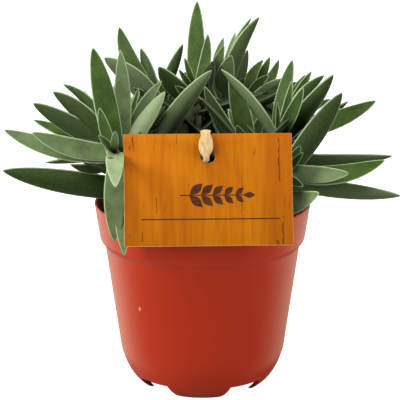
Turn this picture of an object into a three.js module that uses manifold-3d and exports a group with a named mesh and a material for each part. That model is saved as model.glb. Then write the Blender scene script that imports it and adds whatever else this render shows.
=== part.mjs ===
// A velvety crassula in a round nursery pot: pot, peat, stems, leaves, wood-grain label and its tie.
// Millimetres, +Z up, origin on the ground under the middle of the pot. The label hangs on the -Y side.
import * as THREE from 'three';
import { mergeVertices } from 'three/addons/utils/BufferGeometryUtils.js';
import Module from 'manifold-3d';

const wasm = await Module();
wasm.setup();

// Pot
const POT_HEIGHT = 105;
const RIM_RADIUS = 60;
const COLLAR_FOOT_RADIUS = 57.4;
const COLLAR_FOOT_HEIGHT = 86.5;
const BODY_TOP_RADIUS = 54.4;
const BODY_TOP_HEIGHT = 81;
const CORNER_RADIUS = 46.1;
const CORNER_HEIGHT = 20.6;
const CORNER_PULL = [41.7, 3.8];
const BASE_RADIUS = 32;
const WALL = 1.3;
const SKIRT_WALL = 2.4;
const FLOOR_HEIGHT = 9.6;
const FLOOR_RADIUS = 40;
const POT_SIDES = 40;
const FOOT_COUNT = 5;
const FRONT_FOOT_ANGLE = -93;
const NOTCH_HALF_WIDTH = 9.6;
const NOTCH_TOP_HALF_WIDTH = 7.8;
const NOTCH_HEIGHT = 8.6;
const NOTCH_REACH = 16;
const DRAIN_RADIUS = 4;
const DRAIN_RING_RADIUS = 20;

// Peat
const PEAT_HEIGHT = 96;
const PEAT_FLARE = 0.13;
const PEAT_SIDES = 32;
const CLEARANCE = 0.3;

// Label and tie
const LABEL_WIDTH = 88;
const LABEL_HEIGHT = 59;
const LABEL_THICKNESS = 1.5;
const LABEL_CORNER = 0.8;
const LABEL_LEAN = 22;
const LABEL_TURN = 2;
const LABEL_X = 3;
const LABEL_MIDDLE_HEIGHT = 125.1;
const HOLE_RADIUS = 4;
const HOLE_DROP = 11.7;
const TIE_THICKNESS = 1.9;
const TIE_WIDTH = 7.4;
const TIE_TAPER = 7;
const TIE_SLACK = 0.9;
const TIE_LOWEST_SHARE = 0.4;
const TIE_TOP_LOSS = 0.3;
const KNOT_RADIUS = 3.2;
const KNOT_STANDOFF = 2.2;
const TAIL_LENGTH = 16;
const TAIL_ROOT_RADIUS = 1.3;
const TAIL_END_RADIUS = 0.7;
const TAIL_SPREAD = 2.3;
const TAIL_LIFT = 0.5;
const TAIL_STANDOFF = 3;

// Stems and leaves
const STEM_FOOT_RADIUS = 3.2;
const STEM_TIP_RADIUS = 2.2;
const LEAF_ROWS = 6;
const HEART_LEAF_ROWS = 4;
const LEAF_TOP_CAMBER = 0.14;
const LEAF_KEEL = 0.6;
const WIDEST_POINT = 0.42;
const BASE_NARROWING = 0.25;
const TIP_FULLNESS = 0.7;

// A shoot is a stem from the peat through a bend to its crown. Each of its leaves is the distance below the
// crown, tip, width, bow (how far the middle stands off the straight line on the upper side), the way its
// upper face looks, and for a leaf that also bends within its own plane the sweep of its middle.
// The full-grown leaves come away singly. The heart is the younger and inner leaves, grown in one with the stem.
const SHOOTS = [
  { name: 'front_left', root: [-22, -18], bend: [-37, -26, 136], crown: [-48, -42, 143],
    leaves: [
      [3, [-58, -24, 195], 12.5, 1, [0.2, -0.9, 0.3], 0.5],
      [7, [-46, -57, 98], 12.5, 5, [-0.1, -0.9, 0.4]],
      [7, [-105, -35, 153], 11, 0, [0.1, -0.9, 0.5], -4],
      [4, [-89, -46, 154], 10.5, 0, [0.3, -0.9, 0.4], -2.5],
      [11, [-41, -60, 91], 10, 5, [-0.1, -0.9, 0.5]],
      [4, [-44, -82, 134], 9.5, 4, [0, -0.2, 1]]],
    heart: [
      [9, [-20, -22, 171], 10, 0, [0.3, 0.8, -0.5], 0.5],
      [8, [-44, -14, 192], 9.5, 0, [0.2, -0.9, 0.4], 1],
      [2, [-54, -40, 166], 6.5, 0, [0.2, -1, 0.1], -1],
      [2, [-54, -52, 154], 4.5, 0, [0.8, -0.6, -0.2]],
      [2, [-45, -55, 157], 4.5, 0, [0, -0.7, -0.7]],
      [1, [-48, -58, 144], 5.5, 0, [0.5, 0.1, 0.8]],
      [12, [-22, -8, 174], 7.5, 1, [0.5, -0.8, 0.3], -4]] },
  { name: 'left', root: [-26, -6], bend: [-44, -8, 122], crown: [-52, -14, 144],
    leaves: [
      [36, [-109, -16, 126], 14, 0, [-0.1, 1, 0], 1],
      [6, [-93, 0, 160], 11.5, 0, [0.3, 1, 0]],
      [4, [-82, 2, 166], 11, 0, [0.3, 0.9, -0.1], -2]],
    heart: [
      [9, [-94, 8, 149], 7.5, 0, [-0.1, -0.8, 0.6]],
      [15, [-72, -18, 130], 6.5, 0, [-0.3, 1, 0.1], 4],
      [3, [-77, 8, 169], 7, 0, [0.5, 0.8, -0.1], -6],
      [3, [-66, 16, 164], 5.5, 0, [-0.2, -0.7, 0.7]],
      [8, [-35, 14, 164], 6.5, 0, [0.2, -0.8, 0.6]],
      [14, [-35, 4, 168], 4.5, 0, [0.3, -0.9, 0.3]]] },
  { name: 'right', root: [24, -12], bend: [40, -20, 122], crown: [47, -30, 131],
    leaves: [
      [5, [98, -25, 134], 11.5, 0, [0, -0.8, 0.6], 5],
      [4, [75, -15, 169], 13, 0, [-0.3, 1, -0.1], -0.5],
      [13, [107, -28, 115], 9.5, 0, [0.1, 1, 0], -1],
      [3, [77, -42, 131], 9.5, 0, [-0.4, -0.8, 0.4], 1.5],
      [24, [61, -52, 123], 13.5, 1, [-0.8, -0.5, 0.3], 5.5]],
    heart: [
      [2, [52, -33, 144], 5.5, 0, [-0.4, -0.9, -0.1]],
      [2, [53, -40, 142], 4, 0, [-0.6, -0.7, -0.3]],
      [8, [53, -46, 125], 5.5, 1, [-0.7, -0.3, 0.6]]] },
  { name: 'front_right', root: [22, -4], bend: [38, -10, 128], crown: [41, -15, 145],
    leaves: [
      [14, [105, -3, 131], 8, 0, [-0.1, 1, 0.1], -2],
      [4, [71, -5, 177], 10.5, 0, [-0.2, 1, 0], -1.5],
      [3, [10, -6, 180], 7.5, 0, [0.5, 0.9, 0.2], -3],
      [3, [49, 1, 184], 9, 0, [-0.3, -0.9, 0.4], -1]],
    heart: [
      [12, [27, 18, 161], 9, 0, [-0.2, -0.7, 0.7]],
      [2, [48, -12, 175], 5, 0, [-0.2, -1, 0.1], 0.5],
      [1, [40, -19, 165], 3, 0, [0, -1, -0.2]],
      [2, [54, -16, 172], 7.5, 0, [-0.4, -0.9, 0.1], 1]] },
  { name: 'centre_right', root: [9, -14], bend: [24, -14, 118], crown: [26, -18, 142],
    leaves: [
      [5, [15, -6, 177], 11, 0, [-0.2, -1, 0.2], 0.5],
      [10, [1, -8, 171], 9, 0, [0.2, 1, -0.1], 2]],
    heart: [
      [4, [18, -33, 155], 7, 1, [0, -0.7, -0.7]],
      [5, [33, 0, 155], 6.5, 0, [0.1, -0.8, 0.6]],
      [3, [14, 4, 156], 5.5, 0, [-0.3, -0.7, 0.7]]] },
  { name: 'centre_left', root: [-12, -12], bend: [-24, -8, 112], crown: [-31, -12, 135],
    leaves: [
      [4, [5, 7, 177], 11.5, 0, [-0.3, 0.9, -0.1], 2],
      [9, [1, 11, 159], 10, 0, [-0.4, 0.9, -0.3], 0.5]],
    heart: [
      [10, [-51, 16, 146], 6.5, 0, [-0.3, -0.7, 0.6]],
      [4, [-28, 6, 156], 6.5, 0, [0.1, -0.8, 0.6]],
      [2, [-23, -2, 150], 4.5, 0, [0.1, -0.9, 0.4]]] },
  { name: 'top', root: [-2, 4], bend: [-2, 6, 136], crown: [-4, 8, 165],
    leaves: [
      [6, [-24, 2, 180], 12, 1, [0.1, 0.9, 0.3], 2.5],
      [2, [-3, 29, 212], 10, 0, [0, -0.9, 0.4]],
      [2, [3, 20, 195], 7, 0, [-0.1, -0.9, 0.4], 1.5]],
    heart: [
      [1, [-10, 8, 184], 4, 0, [0.1, -1, 0]],
      [2, [-13, 4, 178], 4, 0, [0.2, -1, -0.1]],
      [8, [1, 52, 173], 7, 0, [0.1, -0.4, 0.9]],
      [5, [-15, -2, 170], 5, 0, [0.5, -0.8, -0.2]]] },
  { name: 'back_left', root: [-12, 16], bend: [-19, 20, 138], crown: [-26, 24, 158],
    leaves: [
      [4, [-55, 24, 181], 13.5, 1, [0.2, 1, 0.2], -1.5],
      [3, [-11, 40, 186], 7.5, 0, [-0.4, 0.9, -0.3]],
      [3, [-47, 38, 196], 11, 0, [0.1, -0.9, 0.4], -4]],
    heart: [
      [3, [-35, 38, 184], 7.5, 0, [0.3, 0.9, -0.3]],
      [9, [-20, 56, 167], 6.5, 1, [0.1, -0.5, 0.9]],
      [5, [-30, 46, 172], 4.5, 0, [-0.1, -0.6, 0.8]],
      [2, [-39, 18, 165], 4.5, 0, [0.4, -0.9, 0]],
      [8, [-42, 8, 161], 5.5, 0, [0.6, -0.8, -0.1]]] },
  { name: 'top_right', root: [6, 16], bend: [12, 18, 136], crown: [13, 20, 160],
    leaves: [
      [3, [32, 36, 202], 9.5, 0, [-0.4, 0.9, -0.1], 4.5],
      [2, [16, 14, 184], 10.5, 0, [-0.2, -1, -0.2], -2],
      [6, [26, 50, 181], 8, 0, [-0.4, 0.7, -0.6], -1]],
    heart: [
      [4, [28, 42, 201], 5.5, 0, [-0.5, 0.8, -0.3], 5],
      [3, [12, 17, 189], 7.5, 0, [0, -1, -0.1], -4.5],
      [5, [12, 38, 190], 7.5, 0, [0, -0.9, 0.5], -4],
      [5, [19, 50, 191], 6, 0, [0.1, -0.8, 0.6], -2],
      [6, [3, 8, 162], 5, 0, [0.6, -0.7, -0.3]]] },
  { name: 'high_back', root: [16, 24], bend: [22, 36, 128], crown: [27, 40, 154],
    leaves: [
      [3, [44, 50, 175], 6.5, 0, [-0.1, -0.9, 0.4], 2.5],
      [9, [31, 77, 149], 9, 1, [0.3, -0.2, 0.9]],
      [6, [48, 40, 166], 9, 0, [-0.1, 1, 0], 1.5]],
    heart: [
      [3, [35, 50, 175], 7, 0, [0, -0.9, 0.4], -3.5],
      [4, [39, 54, 176], 6.5, 0, [0.1, -0.9, 0.5]],
      [3, [38, 40, 168], 7, 0, [-0.4, -0.9, 0.3], -2.5],
      [3, [24, 62, 162], 6, 0, [-0.2, -0.5, 0.9]]] },
  { name: 'back_right', root: [24, 10], bend: [40, 18, 128], crown: [49, 22, 150],
    leaves: [
      [12, [98, 26, 156], 11, 0, [-0.1, -0.9, 0.5], 3],
      [4, [69, 34, 169], 7.5, 0, [-0.4, 0.9, -0.1], 2]],
    heart: [
      [3, [62, 36, 171], 5.5, 0, [0.1, -0.9, 0.5], -1],
      [4, [59, 42, 168], 5.5, 0, [0, -0.7, 0.7], -1.5],
      [7, [71, 12, 160], 5, 0, [-0.4, -0.9, 0.2]],
      [6, [48, 60, 154], 7, 0, [0, -0.2, 1]],
      [9, [69, 55, 140], 8, 1, [0.8, -0.5, 0.3]]] },
  { name: 'rear', root: [-4, 32], bend: [-6, 48, 120], crown: [-8, 56, 138],
    leaves: [
      [12, [-10, 80, 108], 12, 3, [0, 1, 0.6]],
      [6, [22, 70, 166], 12, 0, [-0.4, 0.8, 0.6]]],
    heart: [
      [12, [-40, 75, 120], 12, 1, [0, 0.3, 1]],
      [9, [30, 77, 122], 12, 1, [0, 0.3, 1]],
      [5, [-2, 46, 182], 12, 0, [0, 1, 0.3]],
      [4, [-34, 68, 166], 12, 0, [0.4, 0.8, 0.6]],
      [2, [-14, 68, 160], 7, 0, [0, 1, 0.3]],
      [2, [-2, 70, 158], 7, 0, [0, 1, 0.3]]] },
  { name: 'rear_left', root: [-24, 24], bend: [-42, 36, 118], crown: [-50, 44, 132],
    leaves: [
      [12, [-93, 58, 112], 12.5, 1, [0, 0.2, 1]],
      [5, [-84, 40, 156], 12, 0, [0.5, 0.6, 0.9]]],
    heart: [
      [12, [-16, 54, 158], 11, 0, [-0.5, 0.3, 0.8]],
      [8, [-60, 79, 112], 12, 2, [0, 0.6, 0.8]],
      [6, [-46, 24, 172], 12, 0, [0, 1, 0.4]],
      [4, [-32, 72, 160], 11, 0, [0, 1, 0.6]],
      [2, [-64, 52, 150], 7, 0, [0, 1, 0.3]],
      [2, [-54, 60, 150], 7, 0, [0, 1, 0.3]]] },
  { name: 'rear_right', root: [22, 30], bend: [42, 40, 116], crown: [50, 50, 130],
    leaves: [
      [12, [93, 60, 112], 12.5, 1, [0, 0.2, 1]],
      [5, [84, 44, 152], 12, 0, [-0.5, 0.6, 0.9]]],
    heart: [
      [12, [18, 52, 156], 11, 0, [0.5, 0.3, 0.8]],
      [8, [62, 79, 114], 12, 2, [0, 0.6, 0.8]],
      [6, [48, 30, 168], 12, 0, [0, 1, 0.4]],
      [4, [34, 76, 154], 11, 0, [0, 1, 0.6]],
      [2, [63, 57, 148], 7, 0, [0, 1, 0.3]],
      [2, [54, 64, 146], 7, 0, [0, 1, 0.3]]] },
];

const material = (color, roughness) => new THREE.MeshStandardMaterial({ color, roughness, metalness: 0 });
const terracotta = material(0xb4452c, 0.42);
const peat = material(0x2a2019, 0.95);
const stemGreen = material(0x5f7442, 0.75);
const leafGreen = material(0x557040, 0.7);
const woodPrint = material(0xc7731a, 0.5);
const raffia = material(0xe0b878, 0.7);

const point = (p) => new THREE.Vector3(...p);

// A closed geometry becomes a solid for joining and cutting, and a solid becomes a geometry again.
function solidOf(geometry) {
  const bare = geometry.clone();
  bare.deleteAttribute('normal');
  bare.deleteAttribute('uv');
  const merged = mergeVertices(bare, 1e-4);
  const vertProperties = Float32Array.from(merged.attributes.position.array);
  const triVerts = Uint32Array.from(merged.index.array);
  return new wasm.Manifold(new wasm.Mesh({ numProp: 3, vertProperties, triVerts }));
}

function geometryOf(solid) {
  const { vertProperties, triVerts } = solid.getMesh();
  const geometry = new THREE.BufferGeometry();
  geometry.setAttribute('position', new THREE.BufferAttribute(Float32Array.from(vertProperties), 3));
  geometry.setIndex(new THREE.BufferAttribute(Uint32Array.from(triVerts), 1));
  return geometry;
}

// Moves each vertex of a primitive to the place that a rule gives for it.
function reshape(geometry, place) {
  const positions = geometry.attributes.position;
  for (let i = 0; i < positions.count; i += 1) {
    const moved = place(new THREE.Vector3().fromBufferAttribute(positions, i));
    positions.setXYZ(i, moved.x, moved.y, moved.z);
  }
  return geometry;
}

// Outer outline of the pot from the foot to the rim, offset outwards by a margin.
function potOutline(margin) {
  const corner = new THREE.QuadraticBezierCurve(
    new THREE.Vector2(BASE_RADIUS, 0),
    new THREE.Vector2(...CORNER_PULL),
    new THREE.Vector2(CORNER_RADIUS, CORNER_HEIGHT),
  );
  const step = new THREE.CubicBezierCurve(
    new THREE.Vector2(BODY_TOP_RADIUS, BODY_TOP_HEIGHT),
    new THREE.Vector2(BODY_TOP_RADIUS + 0.3, BODY_TOP_HEIGHT + 2),
    new THREE.Vector2(COLLAR_FOOT_RADIUS - 0.3, COLLAR_FOOT_HEIGHT - 3.5),
    new THREE.Vector2(COLLAR_FOOT_RADIUS, COLLAR_FOOT_HEIGHT),
  );
  const rim = [new THREE.Vector2(RIM_RADIUS, POT_HEIGHT - 0.6), new THREE.Vector2(RIM_RADIUS - 0.4, POT_HEIGHT)];
  return [...corner.getPoints(5), ...step.getPoints(4), ...rim].map((p) => new THREE.Vector2(p.x + margin, p.y));
}

function lathe(profile, sides) {
  const geometry = new THREE.LatheGeometry(profile, sides);
  geometry.rotateX(Math.PI / 2);
  return geometry;
}

// A solid turned from an outline that runs from the axis, out and up, and back to the axis.
function turned(outline, sides) {
  const profile = [new THREE.Vector2(0, outline[0].y), ...outline, new THREE.Vector2(0, outline.at(-1).y)];
  return solidOf(lathe(profile, sides));
}

function makePot() {
  const outer = turned(potOutline(0), POT_SIDES);
  const floorTop = FLOOR_HEIGHT + WALL;
  const inside = potOutline(-WALL).filter((p) => p.y > floorTop + 4);
  const hollow = turned([
    new THREE.Vector2(FLOOR_RADIUS, floorTop),
    ...inside.slice(0, -1),
    new THREE.Vector2(RIM_RADIUS - WALL, POT_HEIGHT + 1),
  ], POT_SIDES);
  let pot = outer.subtract(hollow);
  const skirt = potOutline(-SKIRT_WALL).filter((p) => p.y > 0 && p.y < FLOOR_HEIGHT - 1);
  pot = pot.subtract(turned([
    new THREE.Vector2(BASE_RADIUS - SKIRT_WALL, -1),
    new THREE.Vector2(BASE_RADIUS - SKIRT_WALL, 0),
    ...skirt,
    new THREE.Vector2(FLOOR_RADIUS, FLOOR_HEIGHT),
  ], POT_SIDES));
  for (let i = 0; i < FOOT_COUNT; i += 1) {
    const angle = FRONT_FOOT_ANGLE + (i + 0.5) * (360 / FOOT_COUNT);
    pot = pot.subtract(footNotch(THREE.MathUtils.degToRad(angle)));
    pot = pot.subtract(drain(THREE.MathUtils.degToRad(angle + 36), DRAIN_RING_RADIUS));
  }
  return pot.subtract(drain(0, 0));
}

// A notch between two feet: a trapezoid pushed out through the base ring.
function footNotch(angle) {
  const shape = new THREE.Shape();
  shape.moveTo(-NOTCH_HALF_WIDTH - 0.5, -1);
  shape.lineTo(NOTCH_HALF_WIDTH + 0.5, -1);
  shape.lineTo(NOTCH_TOP_HALF_WIDTH, NOTCH_HEIGHT);
  shape.lineTo(-NOTCH_TOP_HALF_WIDTH, NOTCH_HEIGHT);
  shape.closePath();
  const geometry = new THREE.ExtrudeGeometry(shape, { depth: 2 * NOTCH_REACH, bevelEnabled: false });
  geometry.rotateX(Math.PI / 2);
  geometry.rotateZ(Math.PI);
  geometry.translate(0, BASE_RADIUS - NOTCH_REACH / 2, 0);
  geometry.rotateZ(angle - Math.PI / 2);
  return solidOf(geometry);
}

function drain(angle, radius) {
  const geometry = new THREE.CylinderGeometry(DRAIN_RADIUS, DRAIN_RADIUS, 3 * FLOOR_HEIGHT, 16);
  geometry.rotateX(Math.PI / 2);
  geometry.translate(radius * Math.cos(angle), radius * Math.sin(angle), FLOOR_HEIGHT);
  return solidOf(geometry);
}

// The root ball fills the pot to just under the rim.
function makePeat() {
  const floor = FLOOR_HEIGHT + WALL + CLEARANCE;
  const wall = potOutline(-WALL - CLEARANCE).filter((p) => p.y > floor + 4 && p.y < PEAT_HEIGHT);
  const top = wall.at(-1).clone();
  top.x += (PEAT_HEIGHT - top.y) * PEAT_FLARE;
  top.y = PEAT_HEIGHT;
  return turned([new THREE.Vector2(FLOOR_RADIUS - 1, floor), ...wall, top], PEAT_SIDES);
}

// Places a geometry drawn on the label, with x across, y up the card and z out of its face.
const labelPlace = new THREE.Matrix4();
{
  const lean = THREE.MathUtils.degToRad(LABEL_LEAN);
  const rimFront = -RIM_RADIUS - CLEARANCE / Math.cos(lean);
  const middleY = rimFront + (LABEL_MIDDLE_HEIGHT - POT_HEIGHT) * Math.tan(lean) - LABEL_THICKNESS / 2 / Math.cos(lean);
  const upright = new THREE.Matrix4().makeRotationX(Math.PI / 2 - lean);
  const turn = new THREE.Matrix4().makeRotationZ(THREE.MathUtils.degToRad(LABEL_TURN));
  const shift = new THREE.Matrix4().makeTranslation(LABEL_X, middleY, LABEL_MIDDLE_HEIGHT);
  labelPlace.multiply(shift).multiply(turn).multiply(upright);
}

function labelSolid(margin) {
  const halfWidth = LABEL_WIDTH / 2 + margin;
  const halfHeight = LABEL_HEIGHT / 2 + margin;
  const shape = new THREE.Shape();
  shape.moveTo(-halfWidth + LABEL_CORNER, -halfHeight);
  shape.lineTo(halfWidth - LABEL_CORNER, -halfHeight);
  shape.lineTo(halfWidth, -halfHeight + LABEL_CORNER);
  shape.lineTo(halfWidth, halfHeight - LABEL_CORNER);
  shape.lineTo(halfWidth - LABEL_CORNER, halfHeight);
  shape.lineTo(-halfWidth + LABEL_CORNER, halfHeight);
  shape.lineTo(-halfWidth, halfHeight - LABEL_CORNER);
  shape.lineTo(-halfWidth, -halfHeight + LABEL_CORNER);
  shape.closePath();
  const hole = new THREE.Path();
  hole.absarc(0, LABEL_HEIGHT / 2 - HOLE_DROP, HOLE_RADIUS, 0, 2 * Math.PI, true);
  shape.holes.push(hole);
  const depth = LABEL_THICKNESS + 2 * margin;
  const geometry = new THREE.ExtrudeGeometry(shape, { depth, bevelEnabled: false, curveSegments: 12 });
  geometry.translate(0, 0, -depth / 2);
  geometry.applyMatrix4(labelPlace);
  return solidOf(geometry);
}

// The tie is a flat band through the hole and over the top edge, knotted behind the card with two short tails.
function tieSolid(margin) {
  const holeY = LABEL_HEIGHT / 2 - HOLE_DROP;
  const lowest = holeY - HOLE_RADIUS + CLEARANCE + TIE_THICKNESS / 2;
  const highest = LABEL_HEIGHT / 2 + CLEARANCE + TIE_THICKNESS / 2;
  const middle = (lowest + highest) / 2;
  const halfTall = (highest - lowest) / 2;
  const halfDeep = LABEL_THICKNESS / 2 + TIE_THICKNESS / 2 + TIE_SLACK;
  const band = reshape(new THREE.TorusGeometry(1, 0.1, 6, 20), (v) => {
    const around = Math.atan2(v.y, v.x);
    const square = (value) => Math.sign(value) * Math.sqrt(Math.abs(value));
    const y = middle + halfTall * square(Math.sin(around));
    const z = halfDeep * square(Math.cos(around));
    const outwards = (Math.hypot(v.x, v.y) - 1) * 10 * (TIE_THICKNESS / 2 + margin);
    const taper = THREE.MathUtils.smoothstep(y, lowest, lowest + TIE_TAPER);
    const shoulder = THREE.MathUtils.smoothstep(y, lowest + TIE_TAPER, highest);
    const broad = TIE_LOWEST_SHARE + (1 - TIE_LOWEST_SHARE) * taper - TIE_TOP_LOSS * shoulder;
    const across = -v.z * 10 * (TIE_WIDTH / 2 * broad + margin);
    const normal = new THREE.Vector2(z / halfDeep ** 2, (y - middle) / halfTall ** 2).normalize();
    return new THREE.Vector3(across, y + normal.y * outwards, z + normal.x * outwards);
  });
  let tie = solidOf(band);
  const knot = new THREE.SphereGeometry(KNOT_RADIUS + margin, 8, 6);
  knot.translate(0, middle, -halfDeep - KNOT_STANDOFF);
  tie = tie.add(solidOf(knot));
  for (const side of [-1, 1]) {
    const tail = new THREE.CylinderGeometry(TAIL_END_RADIUS + margin, TAIL_ROOT_RADIUS + margin, TAIL_LENGTH, 6);
    tail.translate(0, TAIL_LENGTH / 2, 0);
    tail.rotateZ(side * TAIL_SPREAD);
    tail.rotateX(TAIL_LIFT);
    tail.translate(side, middle, -halfDeep - TAIL_STANDOFF);
    tie = tie.add(solidOf(tail));
  }
  return tie.transform([...labelPlace.elements]);
}

// The middle line of a shoot's stem, standing on the peat.
function stemCurve(shoot) {
  const foot = new THREE.Vector3(...shoot.root, PEAT_HEIGHT + CLEARANCE);
  return new THREE.QuadraticBezierCurve3(foot, point(shoot.bend), point(shoot.crown));
}

function stemSolid(shoot, margin) {
  const curve = stemCurve(shoot);
  const geometry = new THREE.CylinderGeometry(1, 1, 1, 6, 4);
  reshape(geometry, (v) => {
    const along = v.y + 0.5;
    const centre = curve.getPoint(along);
    const forward = curve.getTangent(along);
    const side = new THREE.Vector3(0, 1, 0).cross(forward).normalize();
    const front = forward.clone().cross(side);
    const radius = THREE.MathUtils.lerp(STEM_FOOT_RADIUS, STEM_TIP_RADIUS, along) + margin;
    const offset = side.multiplyScalar(v.z * radius).addScaledVector(front, v.x * radius);
    const placed = centre.add(offset);
    if (along < 0.01) placed.z = PEAT_HEIGHT + CLEARANCE;
    return placed;
  });
  return solidOf(geometry);
}

// Half width along a leaf from base (0) to tip (1), as a share of its greatest half width.
function leafOutline(along) {
  if (along > WIDEST_POINT) {
    const reach = (along - WIDEST_POINT) / (1 - WIDEST_POINT);
    return (1 - reach ** 2) ** TIP_FULLNESS;
  }
  return 1 - BASE_NARROWING * ((WIDEST_POINT - along) / WIDEST_POINT) ** 2;
}

// A leaf is a sphere drawn out along a bowed line: broad, nearly flat above and keeled below.
function leafSolid(base, leaf, margin, rows) {
  const [, tipPlace, width, bow, upperFace, sweep = 0] = leaf;
  const tip = point(tipPlace);
  const faces = point(upperFace);
  const forward = tip.clone().sub(base).normalize();
  const up = faces.clone().addScaledVector(forward, -faces.dot(forward)).normalize();
  const side = forward.clone().cross(up);
  const end = tip.clone().addScaledVector(forward, margin);
  const middle = base.clone().add(end).multiplyScalar(0.5)
    .addScaledVector(up, 2 * bow)
    .addScaledVector(side, 2 * sweep);
  const spine = new THREE.QuadraticBezierCurve3(base, middle, end);
  const geometry = reshape(new THREE.SphereGeometry(1, 6, rows), (v) => {
    const along = 1 - Math.acos(THREE.MathUtils.clamp(v.y, -1, 1)) / Math.PI;
    const ring = Math.hypot(v.x, v.z);
    const centre = spine.getPoint(along);
    if (ring < 1e-6) return centre;
    const half = leafOutline(along) * width / 2;
    const across = v.x / ring;
    const rise = v.z / ring;
    const deep = rise > 0 ? LEAF_TOP_CAMBER : LEAF_KEEL;
    return centre
      .addScaledVector(side, across * (half + margin))
      .addScaledVector(up, rise * (deep * half + margin));
  });
  return solidOf(geometry);
}

// Where a leaf sits: a point on the stem's middle line at the given distance below the crown.
function nodeOnStem(shoot, drop) {
  const curve = stemCurve(shoot);
  return curve.getPointAt(1 - drop / curve.getLength());
}

function leafOf(shoot, leaf, margin, rows) {
  return leafSolid(nodeOnStem(shoot, leaf[0]), leaf, margin, rows);
}

// A stem is one with the inner leaves of its heart.
function heartSolid(shoot, margin) {
  const bud = new THREE.SphereGeometry(STEM_TIP_RADIUS + 0.4 + margin, 7, 5);
  bud.translate(...shoot.crown);
  let heart = stemSolid(shoot, margin).add(solidOf(bud));
  for (const leaf of shoot.heart) heart = heart.add(leafOf(shoot, leaf, margin, HEART_LEAF_ROWS));
  return heart;
}

const part = new THREE.Group();
const placed = [];

function addMesh(name, solid, finish) {
  const mesh = new THREE.Mesh(geometryOf(solid), finish);
  mesh.name = name;
  part.add(mesh);
}

const boxesMeet = (a, b) => [0, 1, 2].every((i) => a.min[i] < b.max[i] && b.min[i] < a.max[i]);

// Cuts a piece back to a clearance from everything placed before it and keeps its main body.
function fitted(solid) {
  let rest = solid;
  for (const blocker of placed) {
    if (boxesMeet(rest.boundingBox(), blocker.boundingBox())) rest = rest.subtract(blocker);
  }
  return rest.decompose().sort((a, b) => b.volume() - a.volume())[0];
}

addMesh('pot', makePot(), terracotta);
addMesh('peat', makePeat(), peat);
addMesh('label_card', labelSolid(0), woodPrint);
addMesh('label_tie', tieSolid(0), raffia);
placed.push(labelSolid(CLEARANCE), tieSolid(CLEARANCE));

for (const shoot of SHOOTS) {
  addMesh(`stem_${shoot.name}`, fitted(heartSolid(shoot, 0)), stemGreen);
  placed.push(heartSolid(shoot, CLEARANCE));
}

placed.push(turned(potOutline(CLEARANCE), POT_SIDES));
for (const shoot of SHOOTS) {
  shoot.leaves.forEach((leaf, index) => {
    addMesh(`leaf_${shoot.name}_${index + 1}`, fitted(leafOf(shoot, leaf, 0, LEAF_ROWS)), leafGreen);
    placed.push(leafOf(shoot, leaf, CLEARANCE, LEAF_ROWS));
  });
}

export default part;
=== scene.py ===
"""Looks of a velvety crassula in a round nursery pot, with a wood-grain label tied on its front."""
import math
import random
from itertools import zip_longest

import bpy
from mathutils import Matrix, Vector


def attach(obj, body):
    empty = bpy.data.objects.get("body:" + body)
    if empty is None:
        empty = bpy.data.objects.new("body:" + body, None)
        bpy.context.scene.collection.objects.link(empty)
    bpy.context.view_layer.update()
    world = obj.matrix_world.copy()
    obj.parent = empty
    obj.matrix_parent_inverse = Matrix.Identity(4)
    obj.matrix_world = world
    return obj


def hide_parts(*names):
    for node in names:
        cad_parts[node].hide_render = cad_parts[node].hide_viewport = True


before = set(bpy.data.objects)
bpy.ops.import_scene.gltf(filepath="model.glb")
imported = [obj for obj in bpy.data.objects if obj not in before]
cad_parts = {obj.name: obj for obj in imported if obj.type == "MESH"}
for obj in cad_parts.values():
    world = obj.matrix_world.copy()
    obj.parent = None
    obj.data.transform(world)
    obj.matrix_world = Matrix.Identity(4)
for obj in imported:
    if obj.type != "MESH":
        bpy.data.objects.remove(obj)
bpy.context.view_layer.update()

MM = 0.001

# Camera: the photo's frame, its scale and the height it was taken from
PHOTO_PIXELS = 400
VIEW_DISTANCE = 900
VIEW_RISE = math.radians(15.3)
VIEW_TARGET = Vector((-1.4, 0, 105))
PIXELS_PER_MM = 1.797
SENSOR_WIDTH = 36

# Pot, in millimetres as all that follows
POT_HEIGHT = 105
RIM_RADIUS = 60
COLLAR_FOOT = (57.4, 86.5)
BODY_TOP = (54.4, 81)
CORNER = (46.1, 20.6)
CORNER_PULL = (41.7, 3.8)
BASE_RADIUS = 32
WALL = 1.3
SKIRT_WALL = 1.6
FLOOR_HEIGHT = 9.6
FLOOR_RADIUS = 40
FLOOR_CORNER_HEIGHT = 3
FLOOR_ROUNDING = 0.8
UNDERSIDE_ROUNDING = 0.3
POT_SIDES = 120
CORNER_STEPS = 14
WALL_STEPS = 8
STEP_BULGE = 0.3
# How far each point of the rounded rim stands inside the rim's radius and below the pot's top
RIM_ROUNDING = ((0.15, 1.6), (0, 0.9), (0.2, 0.25), (0.6, 0))
RIM_INNER_DROP = 0.5
RIM_LIP_HEIGHT = 2
FOOT_COUNT = 5
FRONT_FOOT_ANGLE = -93
NOTCH_HALF_WIDTH = 9.6
NOTCH_TOP_HALF_WIDTH = 7.8
NOTCH_HEIGHT = 8.6
NOTCH_REACH = 16
SIDE_NOTCH_EXTRA = math.radians(6)
DRAIN_RADIUS = 4
DRAIN_RING_RADIUS = 20
DRAIN_SIDES = 32
CUTTER_DEPTH = 12

# Peat
PEAT_HEIGHT = 96
PEAT_SIDES = 48
PEAT_RINGS = 20
PEAT_FLARE = 0.13
PEAT_ROUGH_RADIUS = 55
PEAT_ROUGHNESS = 1.1
PEAT_SEED = 4
CLEARANCE = 0.3
CRUMB_COUNT = 420
CRUMB_SEED = 11
CRUMB_SIZES = (0.6, 1.7)
CRUMB_STRETCHES = [1, 1, 1.4, 3.2]
CRUMB_FLATNESS = 0.7
CRUMB_LIFT = 0.4
CRUMB_TILT = 0.4

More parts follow.
